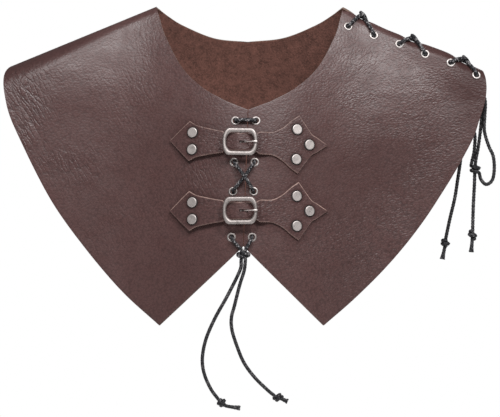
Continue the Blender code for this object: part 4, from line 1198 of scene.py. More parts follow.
def stopper_knot(name, route, tail, settings, look, lean):
    """An overhand stopper knot drawn tight, with its frayed tail."""
    line = tip_line(route, tail)
    length = line_length(line)
    body = braid(name + "_tail", line, settings, look, 0.80)
    knot = along_line(line, [0, tip_knot_length / length])
    centre = (knot[0] + knot[1]) / 2
    along = (knot[1] - knot[0]) / np.linalg.norm(knot[1] - knot[0])
    across = np.cross(along, (0, 1, 0))
    across /= np.linalg.norm(across)
    depth = np.cross(along, across)
    wrap = []
    reach = tip_knot_diameter / 2 - settings.diameter * coil_inset_share
    for i in range(coil_steps + 1):
        share = i / coil_steps
        angle = 2 * math.pi * coil_turns * share + lean
        ends = math.sin(math.pi * share) ** coil_taper
        height = tip_knot_length * (share - 0.5) * coil_length_share + lean * coil_sway * math.cos(angle)
        out = reach * (0.35 + 0.65 * ends)
        wrap.append(centre + along * height + out * (across * math.cos(angle) + depth * math.sin(angle)))
    coil = braid(name + "_coil", wrap, settings, look)
    return join(name, [body, coil])


def front_knot(name, settings, look):
    """A knot of two interlocked bights that gathers the front lace's ends."""
    unit = knot_height / 9
    bight = (
        (-2.6, 0.0, 5.6), (-1.8, -1.6, 3.2), (1.8, -2.6, 1.9), (5.6, -1.6, 1.7), (7.2, 0.6, 0.3),
        (5.4, 2.4, -1.4), (1.6, 2.2, -1.9), (-1.8, 0.8, -2.8), (-2.7, 0.0, -5.2),
    )
    centre = Vector((-notch_shift, -knot_depth(), -knot_drop))
    pieces = []
    for i, side in enumerate((1, -1)):
        points = [centre + unit * Vector((side * x, side * y, z)) for x, y, z in bight]
        pieces.append(braid(f"{name}_{i}", fine_line(points, 10), settings, look, rubbed=0.8))
    return join(name, pieces)


class ARMOUR_OT_cords(bpy.types.Operator):
    """Makes the two laces, the four hanging ends and their knots"""

    bl_idname = "armour.cords"
    bl_label = "Braided cords"

    def execute(self, context):
        settings = context.scene.armour_cord
        look = cord_look(settings)
        laces = {"front_lace": front_lace_points(), "shoulder_lace": shoulder_lace_points()}
        for name, points in laces.items():
            lace = braid(name + "_braid", fine_line(points, 6), settings, look, rubbed=1.0)
            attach(lace, "armour")
            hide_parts(name)
        knot = front_knot("front_knot_bights", settings, look)
        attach(knot, "armour")
        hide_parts("front_knot")
        hanging = {
            "front_cord_left": (knot_exit(LEFT), front_left_route, front_left_tail, "front_tip_left", 0.4),
            "front_cord_right": (
                knot_exit(RIGHT), front_right_route, front_right_tail, "front_tip_right", 1.9),
            "side_cord_front": (side_exit(FRONT), side_front_return, side_front_tail, "side_tip_front", 0.9),
            "side_cord_back": (side_exit(BACK), side_back_route, side_back_tail, "side_tip_back", 2.4),
        }
        for name, (start, route, tail, tip, lean) in hanging.items():
            if name == "side_cord_front":
                line = side_front_line()
            else:
                points = start[1:] + [Vector(p) for p in route]
                line = [tuple(start[0])] + [tuple(p) for p in fine_line(points)]
            cord = braid(name + "_braid", line, settings, look)
            stopper = stopper_knot(tip + "_knot", route, tail, settings, look, lean)
            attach(cord, "armour")
            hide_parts(name)
            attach(stopper, "armour")
            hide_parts(tip)
            path = [tuple(float(c) for c in p) for p in along_line(line, 80)]
            tuple(start[0])
            round(line_length(line), 4)
        return {"FINISHED"}


# Leather panels


def crowded(count, crowding):
    """Shares from 0 to 1 that come closer together towards the shoulder's end."""
    return [1 - (1 - i / count) ** crowding for i in range(count + 1)]


def outline(shares, side, across, down, start=0.0):
    """A table of shares as points of x and z."""
    return [(side * (start + a * across), -d * down) for a, d in shares]


def panel_edges(side, face, near, far):
    """The top edge as (x, drop) and the lower edge as (x, z), from the centre to the shoulder's end."""
    shares = neckline_shares if face == FRONT else back_neckline_shares
    depth = front_neck_drop if face == FRONT else back_neck_drop
    tops = []
    neckline = fine_line(outline(shares, side, neck_half(side), depth))
    for i, (x, z) in enumerate(along_line(neckline, near + 1)[:-1]):
        if face == FRONT:
            x += centre_shift(z, side) * (1 - i / near)
        tops.append((x, drop_of_height(x, z)))
    for share in crowded(far, ridge_crowding):
        x = side * mix(neck_half(side), ridge_end(side), share)
        tops.append((x, edge_drop(x, side, face)))
    shift = centre_shift(-notch_drop, side) if face == FRONT else -notch_shift
    start = tip_offset_left if side == LEFT else tip_offset_right
    reach = shoulder_reach_left if side == LEFT else shoulder_reach_right
    lows = [tuple(p) for p in along_line([(shift, -notch_drop), (side * start, -tip_drop)], near + 1)[:-1]]
    hem = outline(hem_left_shares if side == LEFT else hem_right_shares, side, reach - start, tip_drop, start)
    end = side * ridge_end(side)
    hem.append((end, outer_point(end, edge_drop(end, side, face), face).z))
    lows += [tuple(p) for p in along_line(fine_line(hem), crowded(far, hem_crowding))]
    return tops, lows


def bell(x, z, at, size):
    """A soft hump over a place, 1 at its middle."""
    return math.exp(-((x - at[0]) / size[0]) ** 2 - ((z - at[1]) / size[1]) ** 2)


def calm(x, z, face, drop):
    """How free the leather is to ripple, 0 beside the fittings."""
    still = still_drop_right if x > 0 else still_drop_left
    free = ease((drop - still) / ripple_start)
    if face == FRONT:
        away = max(abs(x - strap_middle[0]), abs(z - strap_middle[1])) / strap_reach
        free *= 1 - ease(1.9 - 1.2 * away)
    return free


def folds(x, z, degrees, across, along, seed):
    """Long shallow wrinkles that rise to the right by an angle, with their counts per metre."""
    cosine = math.cos(math.radians(degrees))
    sine = math.sin(math.radians(degrees))
    return noise.noise(Vector(((x * cosine + z * sine) * along, (z * cosine - x * sine) * across, seed)))


def relief(x, z, face, drop):
    """How far the leather swells or sinks from its even surface."""
    free = calm(x, z, face, drop)
    if free <= 0:
        return 0.0
    broad = noise.noise(Vector((x * 13 + 3.1, z * 13, face * 2.0)))
    fine = noise.noise(Vector((x * 34, z * 30 + 7.7, face * 3.0)))
    height = 0.0011 * broad + 0.0004 * fine
    if face == FRONT:
        for rise, middle, size in front_swells:
            height += rise * bell(x, z, middle, size)
        for rise, middle, size, *kind in front_wrinkles:
            height += rise * bell(x, z, middle, size) * folds(x, z, *kind)
    return free * height


def strap_outlines():
    """The straps' outlines as a tree of places in the picture's plane."""
    places = []
    for buckle in buckles.values():
        for along, level, half in chape_stations() + billet_stations():
            for side in (1, -1):
                x, z = strap_point(buckle, along, side * half)
                places.append((x, 0, z))
    tree = KDTree(len(places))
    for i, place in enumerate(places):
        tree.insert(place, i)
    tree.balance()
    return tree


def shade(x, z, face, drop, outlines):
    """How much painted shade darkens the leather: below strap edges and at the shoulders' ends."""
    if face == BACK:
        return 0.0
    # Painted shadow, strongest below the straps' edges
    place, index, distance = outlines.find((x, 0, z))
    below = ease((place.z - z) / 0.002)
    dark = mix(strap_painted_shade_above, strap_painted_shade_below, below) * math.exp(-((distance / strap_painted_shade_reach) ** 2))
    for strength, reach, side, start, run in painted_shade_ridges:
        dark += strength * math.exp(-((drop / reach) ** 2)) * ease((side * x - start) / run)
    for strength, middle, size in painted_shade_spots:
        dark += strength * bell(x, z, middle, size)
    # Painted shadow under each buckle frame
    for height, tilt in buckles.values():
        middle = (-buckle_shift, height - frame_height / 2 - buckle_painted_shade_offset)
        dark += buckle_painted_shade * bell(x, z, middle, buckle_painted_shade_size)
    return min(0.9, dark)


def crease_strength(x, z, face):
    """How creased the grain is at a place."""
    if face == BACK:
        return 0.35 + 0.3 * noise.noise(Vector((x * 11, 5.0, z * 11)))
    strength = even_creases
    for more, middle, size in front_creases:
        strength += more * bell(x, z, middle, size)
    strength += 0.18 * noise.noise(Vector((x * 15, 2.0, z * 15)))
    return min(1.0, max(0.05, strength))


def crease_lean(x, z):
    """0 where creases fall to the right, 1 where they rise a little, 2 where they rise steeply."""
    strength, middle, size = steep_creases
    return ease(0.5 + (x - lean_turn_x) / lean_turn_width) + strength * bell(x, z, middle, size)


def panel_part(bm, side, face, settings, layers, outlines):
    """Shapes one half of the front or the back in a bmesh."""
    near = round(settings.columns * near_share)
    far = settings.columns - near
    rows = settings.rows
    tops, lows = panel_edges(side, face, near, far)
    made = bmesh.ops.create_grid(bm, x_segments=near + far, y_segments=rows, size=0.5)
    tops = [(float(x), float(drop)) for x, drop in tops]
    lows = [(float(x), drop_of_height(float(x), float(z))) for x, z in lows]
    for vertex in made["verts"]:
        column = round((vertex.co.x + 0.5) * (near + far))
        row = round((0.5 - vertex.co.y) * rows)
        x_top, drop_top = tops[column]
        x_low, drop_low = lows[column]
        share = (row / rows) ** mix(1.0, row_crowding, ease(column / near))
        x = mix(x_top, x_low, share)
        drop = mix(drop_top, drop_low, share)
        flat = outer_point(x, drop, face)
        height = relief(x, flat.z, face, drop)
        vertex.co = outer_point(x, drop, face, height) if height else flat
        vertex[layers[0]] = crease_strength(x, flat.z, face)
        vertex[layers[1]] = crease_lean(x, flat.z)
        vertex[layers[2]] = shade(x, flat.z, face, drop, outlines)


def cylinder_at(bm, at, radius, depth, steps=32):
    """A plain cylinder round a frame's Z axis, as a cutter."""
    bmesh.ops.create_cone(
        bm, cap_ends=True, segments=steps, radius1=radius, radius2=radius, depth=depth, matrix=at)


def cut(item, cutter):
    """Cuts an object with a cutter and removes the cutter."""
    step = item.modifiers.new("cut", "BOOLEAN")
    step.operation = "DIFFERENCE"
    step.object = cutter
    made = bake(item)
    bpy.data.objects.remove(cutter, do_unlink=True)
    return made


def thick(item, thickness, offset, inside, rim, width, rounds):
    """A sheet with its thickness and eased edges; inside and rim are the numbers of their looks."""
    wall = item.modifiers.new("thickness", "SOLIDIFY")
    wall.thickness = thickness
    wall.offset = offset
    wall.material_offset = inside
    wall.material_offset_rim = rim
    eased = item.modifiers.new("eased edges", "BEVEL")
    eased.width = width
    eased.segments = rounds
    eased.material = rim
    eased.limit_method = "ANGLE"
    eased.angle_limit = math.radians(corner_degrees)
    return bake(item)


def leather_sheet(name, parts, holes, settings, looks):
    """A panel with its thickness, eased cut edges and eyelet holes."""
    bm = bmesh.new()
    layers = [bm.verts.layers.float.new(layer) for layer in ("crease", "lean", "shade")]
    outlines = strap_outlines()
    for side, face in parts:
        panel_part(bm, side, face, settings, layers, outlines)
    bmesh.ops.remove_doubles(bm, verts=bm.verts, dist=sheet_merge)
    bmesh.ops.dissolve_degenerate(bm, dist=sheet_merge, edges=bm.edges)
    bmesh.ops.recalc_face_normals(bm, faces=bm.faces)
    front = min(bm.faces, key=lambda f: f.calc_center_median().y)
    if front.normal.y > 0:
        bmesh.ops.reverse_faces(bm, faces=bm.faces)
    width = leather_thickness * panel_round_share
    made = thick(settle(name, bm, looks), leather_thickness, -1, 1, 2, width, 2)
    drills = bmesh.new()
    for place in holes:
        cylinder_at(drills, local_frame(*place), eyelet_bore / 2 + eyelet_wall, 6 * leather_thickness)
    return cut(made, settle(name + "_drills", drills, []))


class ARMOUR_OT_leather(bpy.types.Operator):
    """Makes the one-piece shell and the right front panel"""

    bl_idname = "armour.leather"
    bl_label = "Leather panels"

    def execute(self, context):
        settings = context.scene.armour_leather
        looks = [
            leather_look(settings, "grained_leather"), suede_look(settings),
            edge_look("cut_edge", settings.edge_colour, seam_painted_shade_reach),
        ]
        shell = leather_sheet(
            "shell_leather", ((LEFT, FRONT), (LEFT, BACK), (RIGHT, BACK)),
            EYELETS["eyelet_left"] + EYELETS["eyelet_shoulder_back"], settings, looks)
        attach(shell, "armour")
        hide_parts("shell")
        right = leather_sheet(
            "right_front_leather", ((RIGHT, FRONT),),
            EYELETS["eyelet_right"] + EYELETS["eyelet_shoulder_front"], settings, looks)
        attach(right, "armour")
        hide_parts("right_front_panel")
        return {"FINISHED"}


# Straps


lower_level = seat_gap + strap_thickness / 2
bar_level = 2 * seat_gap + strap_thickness + centre_bar_radius
wrap_radius = centre_bar_radius + seat_gap + strap_thickness / 2
upper_level = bar_level + wrap_radius
double_level = lower_level + strap_thickness + seat_gap
billet_top_level = upper_level + strap_thickness + seat_gap
frame_bottom = double_level + 1.5 * strap_thickness + 2 * seat_gap + tilt_clearance + strap_thickness / 2
frame_top = frame_bottom + frame_thickness
side_bar_middle = (frame_length - side_bar_width) / 2
window_half_length = frame_length / 2 - side_bar_width


def strap_point(buckle, along, across):
    """X and Z of a place measured along and across a strap from its buckle's bar."""
    height, tilt = buckle
    x = -buckle_shift + along * math.cos(tilt) - across * math.sin(tilt)
    return x, height + along * math.sin(tilt) + across * math.cos(tilt)


def strap_place(buckle, along, across):
    """X and drop of a place measured along and across a strap from its buckle's bar."""
    x, z = strap_point(buckle, along, across)
    return x, drop_of_height(x, z)


def strap_frame(buckle, along, across):
    """The local frame at a place on a strap's line."""
    return local_frame(*strap_place(buckle, along, across), FRONT) @ Matrix.Rotation(buckle[1], 4, "Z")


def chape_level(distance):
    """Height of the upper chape layer's middle at a distance from the bar."""
    ramp = (distance - centre_bar_radius) / (window_half_length - centre_bar_radius)
    level = mix(upper_level, double_level, ease(ramp))
    return mix(level, lower_level, ease((distance - chape_return) / (chape_length - chape_return)))


def billet_level(along):
    """Height of the billet's middle along the strap, positive to the right of the bar."""
    if along < 0:
        return chape_level(-along) + (strap_thickness + seat_gap) * 1.06
    under_bar = frame_bottom - tilt_clearance - seat_gap - 1.6 * strap_thickness
    first = (along - centre_bar_radius) / (window_half_length - centre_bar_radius)
    level = mix(billet_top_level, under_bar, ease(first))
    return mix(level, lower_level, ease((along - side_bar_middle) / side_bar_middle))


def width_table(shares, corner):
    """A dense table of widths, smooth on both sides of one sharp corner."""
    first = [p for p in shares if p[0] <= corner]
    second = [p for p in shares if p[0] >= corner]
    return [tuple(p) for p in np.concatenate([fine_line(first, 10), fine_line(second, 10)[1:]])]


def chape_stations():
    """(distance left of the bar, level, half width) down the lower layer, round the bar and back."""
    half = neck_of_strap / 2
    stations = []
    for share in np.linspace(1, 0.1, 24):
        stations.append((-chape_return * share, lower_level, half * min(1.0, 0.5 + 7 * (1 - share))))
    for angle in np.linspace(-math.pi / 2, math.pi / 2, 13):
        stations.append((wrap_radius * math.cos(angle), bar_level + wrap_radius * math.sin(angle), half))
    table = width_table(chape_outline_shares, chape_corner_share)
    for share in np.concatenate([np.linspace(0.03, chape_corner_share, 42), np.linspace(0.73, 1.0, 18)]):
        distance = chape_length * share
        stations.append((-distance, chape_level(distance), chape_half_width * table_value(table, share)))
    return stations


RIVET_SPOTS = [
    (-chape_rivet_reach, chape_rivet_spread), (-chape_rivet_reach, -chape_rivet_spread),
    (billet_rivet_reach, billet_rivet_spread), (billet_rivet_reach, -billet_rivet_spread),
    (billet_tip_rivet_reach, 0),
]


def billet_stations():
    """(distance from the bar, level, half width) from the hidden tip to the stepped point."""
    half = neck_of_strap / 2
    stations = []
    for share in np.linspace(1.0, 0.04, 16):
        along = -billet_tip * share
        taper = max(0.0, (share - 0.55) / 0.46)
        stations.append((along, billet_level(along), half * math.sqrt(1 - taper**2)))
    table = width_table(billet_outline_shares, billet_corner_share)
    for share in np.concatenate([np.linspace(0.01, billet_corner_share, 54), np.linspace(0.68, 1.0, 26)]):
        along = billet_length * share
        stations.append((along, billet_level(along), billet_half_width * table_value(table, share)))
    return stations


def strap_shade(along, across):
    """How much painted shade darkens a strap round its rivets and beside its buckle's frame."""
    near = min(math.hypot(along - a, across - b) for a, b in RIVET_SPOTS) - rivet_cap / 2
    dark = rivet_painted_shade * math.exp(-((max(near, 0.0) / rivet_painted_shade_reach) ** 2))
    if abs(along) < frame_length / 2 + beside_frame_painted_shade_end:
        bar = abs(along - frame_length / 2 - buckle_painted_shade_offset)
        rail = abs(across + neck_of_strap / 2 - buckle_painted_shade_offset)
        dark += beside_frame_painted_shade * math.exp(-((min(bar, rail) / beside_frame_painted_shade_reach) ** 2))
    return min(0.95, dark)


def strap(name, buckle, stations, cutters, looks):
    """A leather ribbon with eased, pale cut edges along its stations."""
    steps = strap_rows
    bm = bmesh.new()
    layers = [bm.verts.layers.float.new(layer) for layer in ("crease", "lean", "shade", "rim")]
    count = len(stations) - 1
    made = bmesh.ops.create_grid(bm, x_segments=count, y_segments=steps, size=0.5)
    pale = lower_rim_wear_and_highlight if buckle == buckles["lower"] else upper_rim_wear_and_highlight
    for vertex in made["verts"]:
        along, level, half = (float(value) for value in stations[round((vertex.co.x + 0.5) * count)])
        row = round((vertex.co.y + 0.5) * steps)
        rim = min(strap_rim / half, 0.2)
        shares = [-1, rim - 1, *np.linspace(2 * rim - 1, 1 - 2 * rim, steps - 3), 1 - rim, 1]
        across = half * float(shares[row])
        vertex.co = outer_point(*strap_place(buckle, along, across), FRONT, level)
        bend = (abs(along) - strap_creases_place) / strap_creases_width
        vertex[layers[0]] = strap_creases + strap_creases_more * math.exp(-(bend**2))
        vertex[layers[1]] = strap_lean
        vertex[layers[2]] = strap_shade(along, across)
        # Pale rims: the top edge gets wear and painted highlight, the lower edge wear only
        vertex[layers[3]] = pale if row >= steps - 1 else under_rim_wear if row <= 1 else 0.0
    bmesh.ops.recalc_face_normals(bm, faces=bm.faces)
    made = thick(settle(name, bm, looks), strap_thickness, 0, 0, 1, strap_thickness * strap_round_share, 3)
    for cutter in cutters:
        made = cut(made, cutter)
    return made


def block(name, at, low, high):
    """A box between two corners of a frame, as a cutter."""
    bm = bmesh.new()
    size = [h - l for l, h in zip(low, high)]
    middle = [(h + l) / 2 for l, h in zip(low, high)]
    bmesh.ops.create_cube(bm, size=1, matrix=at @ Matrix.Translation(middle) @ Matrix.Diagonal((*size, 1)))
    return settle(name, bm, [])


class ARMOUR_OT_straps(bpy.types.Operator):
    """Makes the two chapes and the two billets"""

    bl_idname = "armour.straps"
    bl_label = "Buckle straps"

    def execute(self, context):
        settings = context.scene.armour_leather
        looks = [
            leather_look(settings, "strap_leather"), edge_look("strap_edge", settings.strap_edge_colour),
        ]
        for place, buckle in buckles.items():
            at = strap_frame(buckle, 0, 0)
            ring = tongue_ring_width / 2 + tongue_slot_clearance
            wrap = wrap_radius + strap_thickness / 2 + tongue_slot_clearance
            slot = block(
                "slot", at, (-wrap, -ring, -seat_gap * 3),
                (wrap + cutter_margin, ring, upper_level + strap_thickness * 0.7))
            prong = tongue_radius + tongue_slot_clearance
            hole = block(
                "hole", at, (-centre_bar_radius * 0.8, -prong, 0),
                (window_half_length * 0.6, prong, billet_top_level + cutter_margin))
            pieces = {
                f"{place}_chape": strap(f"{place}_chape_leather", buckle, chape_stations(), [slot], looks),
                f"{place}_billet": strap(f"{place}_billet_leather", buckle, billet_stations(), [hole], looks),
            }
            for node, piece in pieces.items():
                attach(piece, "armour")
                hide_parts(node)
        return {"FINISHED"}


# Metal fittings


def join(name, pieces):
    """Makes one object of several."""
    bpy.ops.object.select_all(action="DESELECT")
    for piece in pieces:
        piece.select_set(True)
    bpy.context.view_layer.objects.active = pieces[0]
    bpy.ops.object.join()
    pieces[0].name = name
    pieces[0].data.name = name
    return pieces[0]


def mapped_grid(bm, columns, rows, place):
    """A grid of faces whose corners lie where place(column, row) says."""
    made = bmesh.ops.create_grid(bm, x_segments=columns, y_segments=rows, size=0.5)
    for vertex in made["verts"]:
        vertex.co = place(round((vertex.co.x + 0.5) * columns), round((vertex.co.y + 0.5) * rows))
    bmesh.ops.remove_doubles(bm, verts=bm.verts, dist=turned_merge)
    bmesh.ops.recalc_face_normals(bm, faces=bm.faces)


def turned_piece(name, profile, at, steps, look, closed):
    """A profile in the XZ plane turned round a frame's Z axis."""
    bm = bmesh.new()
    corners = [bm.verts.new((x, 0, z)) for x, z in profile]
    edges = [bm.edges.new(pair) for pair in zip(corners, corners[1:])]
    if closed:
        edges.append(bm.edges.new((corners[-1], corners[0])))
    bmesh.ops.spin(
        bm, geom=corners + edges, cent=(0, 0, 0), axis=(0, 0, 1), angle=2 * math.pi, steps=steps,
        use_merge=True)
    bmesh.ops.remove_doubles(bm, verts=bm.verts, dist=turned_merge)
    bmesh.ops.recalc_face_normals(bm, faces=bm.faces)
    bmesh.ops.transform(bm, matrix=at, verts=bm.verts)
    return settle(name, bm, [look], smooth=34)


def arc(centre, reach, start, end, steps):
    """Points on an ellipse's arc, with angles in degrees."""
    angles = [math.radians(mix(start, end, i / steps)) for i in range(steps + 1)]
    return [(centre[0] + reach[0] * math.cos(a), centre[1] + reach[1] * math.sin(a)) for a in angles]


def touch_level(trees, at, radius, sign):
    """The level in a frame at which a flat disc first touches the faces, from above (1) or below (-1)."""
    levels = []
    back = at.inverted()
    down = at.to_3x3() @ Vector((0, 0, -sign))
    for share in touch_shares:
        reach = share * radius
        for turn in range(touch_turns):
            angle = 2 * math.pi * turn / touch_turns
            start = Vector((reach * math.cos(angle), reach * math.sin(angle), sign * touch_reach))
            for tree in trees:
                hit = tree.ray_cast(at @ start, down, 2 * touch_reach)[0]
                if hit is not None:
                    levels.append((back @ hit).z)
    return sign * max(sign * level for level in levels)


def tree_of(*names):
    """The faces of made pieces, to find where a fitting touches them."""
    graph = bpy.context.evaluated_depsgraph_get()
    return [BVHTree.FromObject(bpy.data.objects[name], graph) for name in names]


def eyelet(name, place, trees, settings, look):
    """A rolled eyelet ring with its barrel and its spread back."""
    at = local_frame(*place)
    bore = eyelet_bore / 2
    flange = eyelet_flange / 2 + eyelet_lip
    half = (flange - bore) / 2
    barrel = bore + eyelet_wall
    top = touch_level(trees, at, flange, 1)
    bottom = touch_level(trees, at, flange, -1)
    middle = (bore + flange) / 2
    profile = [(bore, bottom - eyelet_rise * 0.4)]
    profile += arc((middle, top + eyelet_foot), (half, eyelet_rise - eyelet_foot), 180, 0, 12)
    foot = top + metal_gap
    profile += [(flange - eyelet_lip, foot), (barrel, foot), (barrel, bottom - metal_gap)]
    profile += arc((middle, bottom - eyelet_foot), (half - back_narrowing, eyelet_rise * 0.6), 0, -150, 8)
    return turned_piece(name, profile, at, settings.round_steps, look, True)


def rivet(name, at, trees, settings, look, dark):
    """A flat double-cap rivet with a thin dark ring round its cap, a painted shadow."""
    cap = rivet_cap / 2
    shank = rivet_shank / 2
    back_cap = rivet_back_cap / 2
    top = touch_level(trees, at, cap, 1)
    bottom = touch_level(trees, at, back_cap, -1)
    high = top + rivet_cap_height
    low = bottom - rivet_back_height
    large = (cap_round, cap_round)
    small = (small_round, small_round)
    profile = [(cap * share, high - sink) for share, sink in cap_dish]
    profile += arc((cap - cap_round, high - cap_round), large, 90, 0, 6)
    profile += arc((cap - small_round, top + small_round), small, 0, -90, 3)
    profile += [(shank, top), (shank, bottom), (back_cap - back_narrowing, bottom)]
    profile += arc((back_cap - small_round, low + small_round), small, 0, -90, 4)
    profile += [(0, low - back_dome)]
    caps = turned_piece(name, profile, at, settings.round_steps, look, False)
    # The dark ring round the cap is a painted shadow
    inner = cap - shadow_ring_inset
    outer = cap + shadow_ring_width
    ring = [
        (inner, top + metal_gap), (outer, top + metal_gap),
        (outer - shadow_ring_slope, top + shadow_ring_rise), (inner, top + shadow_ring_height),
    ]
    shadow_ring = turned_piece(name + "_shadow_ring", ring, at, settings.round_steps, dark, True)
    return join(name, [caps, shadow_ring])


def rounded_rectangle(length, height, across, up, steps):
    """Points round a rectangle with round corners."""
    points = []
    for turn, (sx, sy) in enumerate(((1, 1), (-1, 1), (-1, -1), (1, -1))):
        for step in range(steps + 1):
            angle = math.pi / 2 * (turn + step / steps)
            x = sx * (length / 2 - across) + across * math.cos(angle)
            y = sy * (height / 2 - up) + up * math.sin(angle)
            points.append(Vector((x, y, 0)))
    return points


# A rail's section: shares of its width from the outside inwards and of its thickness
RAIL_SECTION = (
    (0.0, 0.22), (0.0, 0.38), (0.05, 0.54), (0.14, 0.80), (0.22, 0.94), (0.30, 0.99),
    (0.42, 1.0), (0.56, 1.0), (0.66, 0.98), (0.75, 0.90), (0.88, 0.62), (0.97, 0.40),
    (1.0, 0.22), (0.94, 0.06), (0.80, 0.0), (0.20, 0.0), (0.06, 0.06),
)


def buckle_frame(name, at, look):
    """A rounded frame with domed rails and its centre bar set back."""
    outer = rounded_rectangle(frame_length, frame_height, frame_corner_across, frame_corner_up, 12)
    inner = rounded_rectangle(
        frame_length - 2 * side_bar_width, frame_height - 2 * rail_width, window_corner_across,
        window_corner_up, 12)
    base = Vector((0, 0, frame_bottom))

    def place(column, row):
        i = column % len(outer)
        across, up = RAIL_SECTION[row % len(RAIL_SECTION)]
        return at @ (outer[i].lerp(inner[i], across) + base + Vector((0, 0, up * frame_thickness)))

    bm = bmesh.new()
    mapped_grid(bm, len(outer), len(RAIL_SECTION), place)
    ring = settle(name + "_ring", bm, [look], smooth=50)
    end = (frame_height - rail_width) / 2
    inside = neck_of_strap / 2 + centre_bar_radius + 2 * seat_gap
    rise = frame_bottom + frame_thickness / 2 - bar_level
    half = [(0, end, rise), (0, end, rise * 0.35), (0, mix(inside, end, 0.6), rise * 0.06), (0, inside, 0)]
    route = half + [(x, -y, z) for x, y, z in reversed(half)]
    line = fine_line([at @ Vector((x, y, z + bar_level)) for x, y, z in route], 8)
    bar = strands_of(name + "_bar", [(line, [1.0] * len(line))], centre_bar_radius, 4)
    bar.data.materials.append(look)
    return join(name, [ring, bar])


def tongue(name, at, settings, look):
    """A tapered prong with its ring round the centre bar, resting on the right side bar."""
    bore = centre_bar_radius + ring_clearance
    outer = bore + tongue_ring_wall
    half = tongue_ring_width / 2
    origin = at @ Matrix.Translation((0, 0, bar_level))
    small = (small_round, small_round)
    profile = [(bore, half - ring_chamfer), (bore, -half + ring_chamfer)]
    profile += arc((outer - small_round, -half + small_round), small, -90, 0, 4)
    profile += arc((outer - small_round, half - small_round), small, 0, 90, 4)
    round_bar = origin @ Matrix.Rotation(math.pi / 2, 4, "X")
    ring = turned_piece(name + "_ring", profile, round_bar, settings.round_steps, look, True)
    rest = frame_top + seat_gap + tongue_radius - bar_level
    middle = mix(bore, outer, 0.6)
    edge = window_half_length
    route = (
        (middle * 0.85, 0, middle * 0.5), (edge * 0.42, 0, rest * 0.42), (edge * 0.75, 0, rest * 0.80),
        (edge * 0.98, 0, rest * 1.01), (side_bar_middle, 0, rest * 1.03),
        (frame_length / 2 + side_bar_width * 0.05, 0, rest * 1.0),
    )
    line = fine_line([origin @ Vector(p) for p in route], 8)
    last = len(line) - 1
    tail = []
    for i in range(last + 1):
        swell = mix(0.85, 1.30, ease((i / last - 0.45) / 0.35))
        tail.append(swell * (1 - 0.35 * ease((i / last - 0.93) / 0.07)))
    prong = strands_of(name + "_prong", [(line, tail)], tongue_radius, 5)
    prong.data.materials.append(look)
    return join(name, [ring, prong])


def rivet_places(place, buckle):
    """Each rivet of a buckle: node name and frame."""
    made = {}
    for i, side in enumerate((1, -1)):
        made[f"{place}_chape_rivet_{i + 1}"] = strap_frame(
            buckle, -chape_rivet_reach, side * chape_rivet_spread)
        made[f"{place}_billet_rivet_{i + 1}"] = strap_frame(
            buckle, billet_rivet_reach, side * billet_rivet_spread)
    made[f"{place}_billet_rivet_3"] = strap_frame(buckle, billet_tip_rivet_reach, 0)
    return made


class ARMOUR_OT_eyelets(bpy.types.Operator):
    """Makes the rolled eyelets of the centre opening and the right shoulder"""

    bl_idname = "armour.eyelets"
    bl_label = "Eyelets"

    def execute(self, context):
        settings = context.scene.armour_metal
        look = metal_look(settings, "antique_nickel", toned(settings.cap_colour, 0.80), 0.9, 0.8)
        for stem, places in EYELETS.items():
            on_front = stem in ("eyelet_right", "eyelet_shoulder_front")
            trees = tree_of("right_front_leather" if on_front else "shell_leather")
            for i, place in enumerate(places):
                made = eyelet(f"{stem}_{i + 1}_ring", place, trees, settings, look)
                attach(made, "armour")
                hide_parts(f"{stem}_{i + 1}")
        return {"FINISHED"}


class ARMOUR_OT_rivets(bpy.types.Operator):
    """Makes the flat rivets that hold the straps"""

    bl_idname = "armour.rivets"
    bl_label = "Rivets"

    def execute(self, context):
        settings = context.scene.armour_metal
        look = metal_look(settings, "rivet_nickel", settings.cap_colour, 0.25, 0.6)
        # The dark look of the ring round each rivet cap, a painted shadow
        dark = edge_look("rivet_painted_shadow", toned(context.scene.armour_leather.deep_colour, 0.35))
        for place, buckle in buckles.items():
            for node, at in rivet_places(place, buckle).items():
                skin = "shell_leather" if "chape" in node else "right_front_leather"
                layer = f"{place}_chape_leather" if "chape" in node else f"{place}_billet_leather"
                made = rivet(node + "_caps", at, tree_of(skin, layer), settings, look, dark)
                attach(made, "armour")
                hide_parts(node)
        return {"FINISHED"}


class ARMOUR_OT_buckles(bpy.types.Operator):
    """Makes the two centre-bar buckles with their tongues"""

    bl_idname = "armour.buckles"
    bl_label = "Buckles"

    def execute(self, context):
        settings = context.scene.armour_metal
        look = metal_look(settings, "buckle_nickel", settings.nickel_colour, 0.7, 0.6)
        # The tongues get a paler copy of the rivet metal, a painted highlight
        painted_highlight_metal = metal_look(settings, "tongue_nickel_painted_highlight", toned(settings.cap_colour, 1.35), 0.2, 0.3)
        for place, buckle in buckles.items():
            at = strap_frame(buckle, 0, 0)
            made = buckle_frame(f"{place}_frame_cast", at, look)
            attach(made, f"{place}_frame")
            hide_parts(f"{place}_buckle_frame")
            made = tongue(f"{place}_tongue_prong", at, settings, painted_highlight_metal)
            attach(made, f"{place}_tongue")
            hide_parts(f"{place}_buckle_tongue")
        return {"FINISHED"}


# Camera, lights and floor


def aim(item, place, target):
    """Puts an object at a place, looking at a target."""
    item.location = place
    item.rotation_euler = (Vector(target) - Vector(place)).to_track_quat("-Z", "Y").to_euler()


def soft_light(name, place, target, size, power):
    """A large white light that the camera doesn't see."""
    data = bpy.data.lights.new(name, "AREA")
    data.shape = "RECTANGLE"
    data.size, data.size_y = size
    data.energy = power
    light = link(name, data)
    light.visible_camera = False
    aim(light, place, target)


class ARMOUR_OT_camera(bpy.types.Operator):
    """Makes the camera at the photograph's angle"""

    bl_idname = "armour.camera"
    bl_label = "Camera"

    def execute(self, context):
        settings = context.scene.armour_studio
        data = bpy.data.cameras.new("camera")
        data.sensor_width = sensor_width
        data.lens = sensor_width * settings.distance / settings.picture_width
        data.clip_end = clip_end
        camera = link("camera", data)
        place = (picture_middle_x, picture_depth - settings.distance, picture_middle_z)
        aim(camera, place, (picture_middle_x, 0, picture_middle_z))
        context.scene.camera = camera
        return {"FINISHED"}


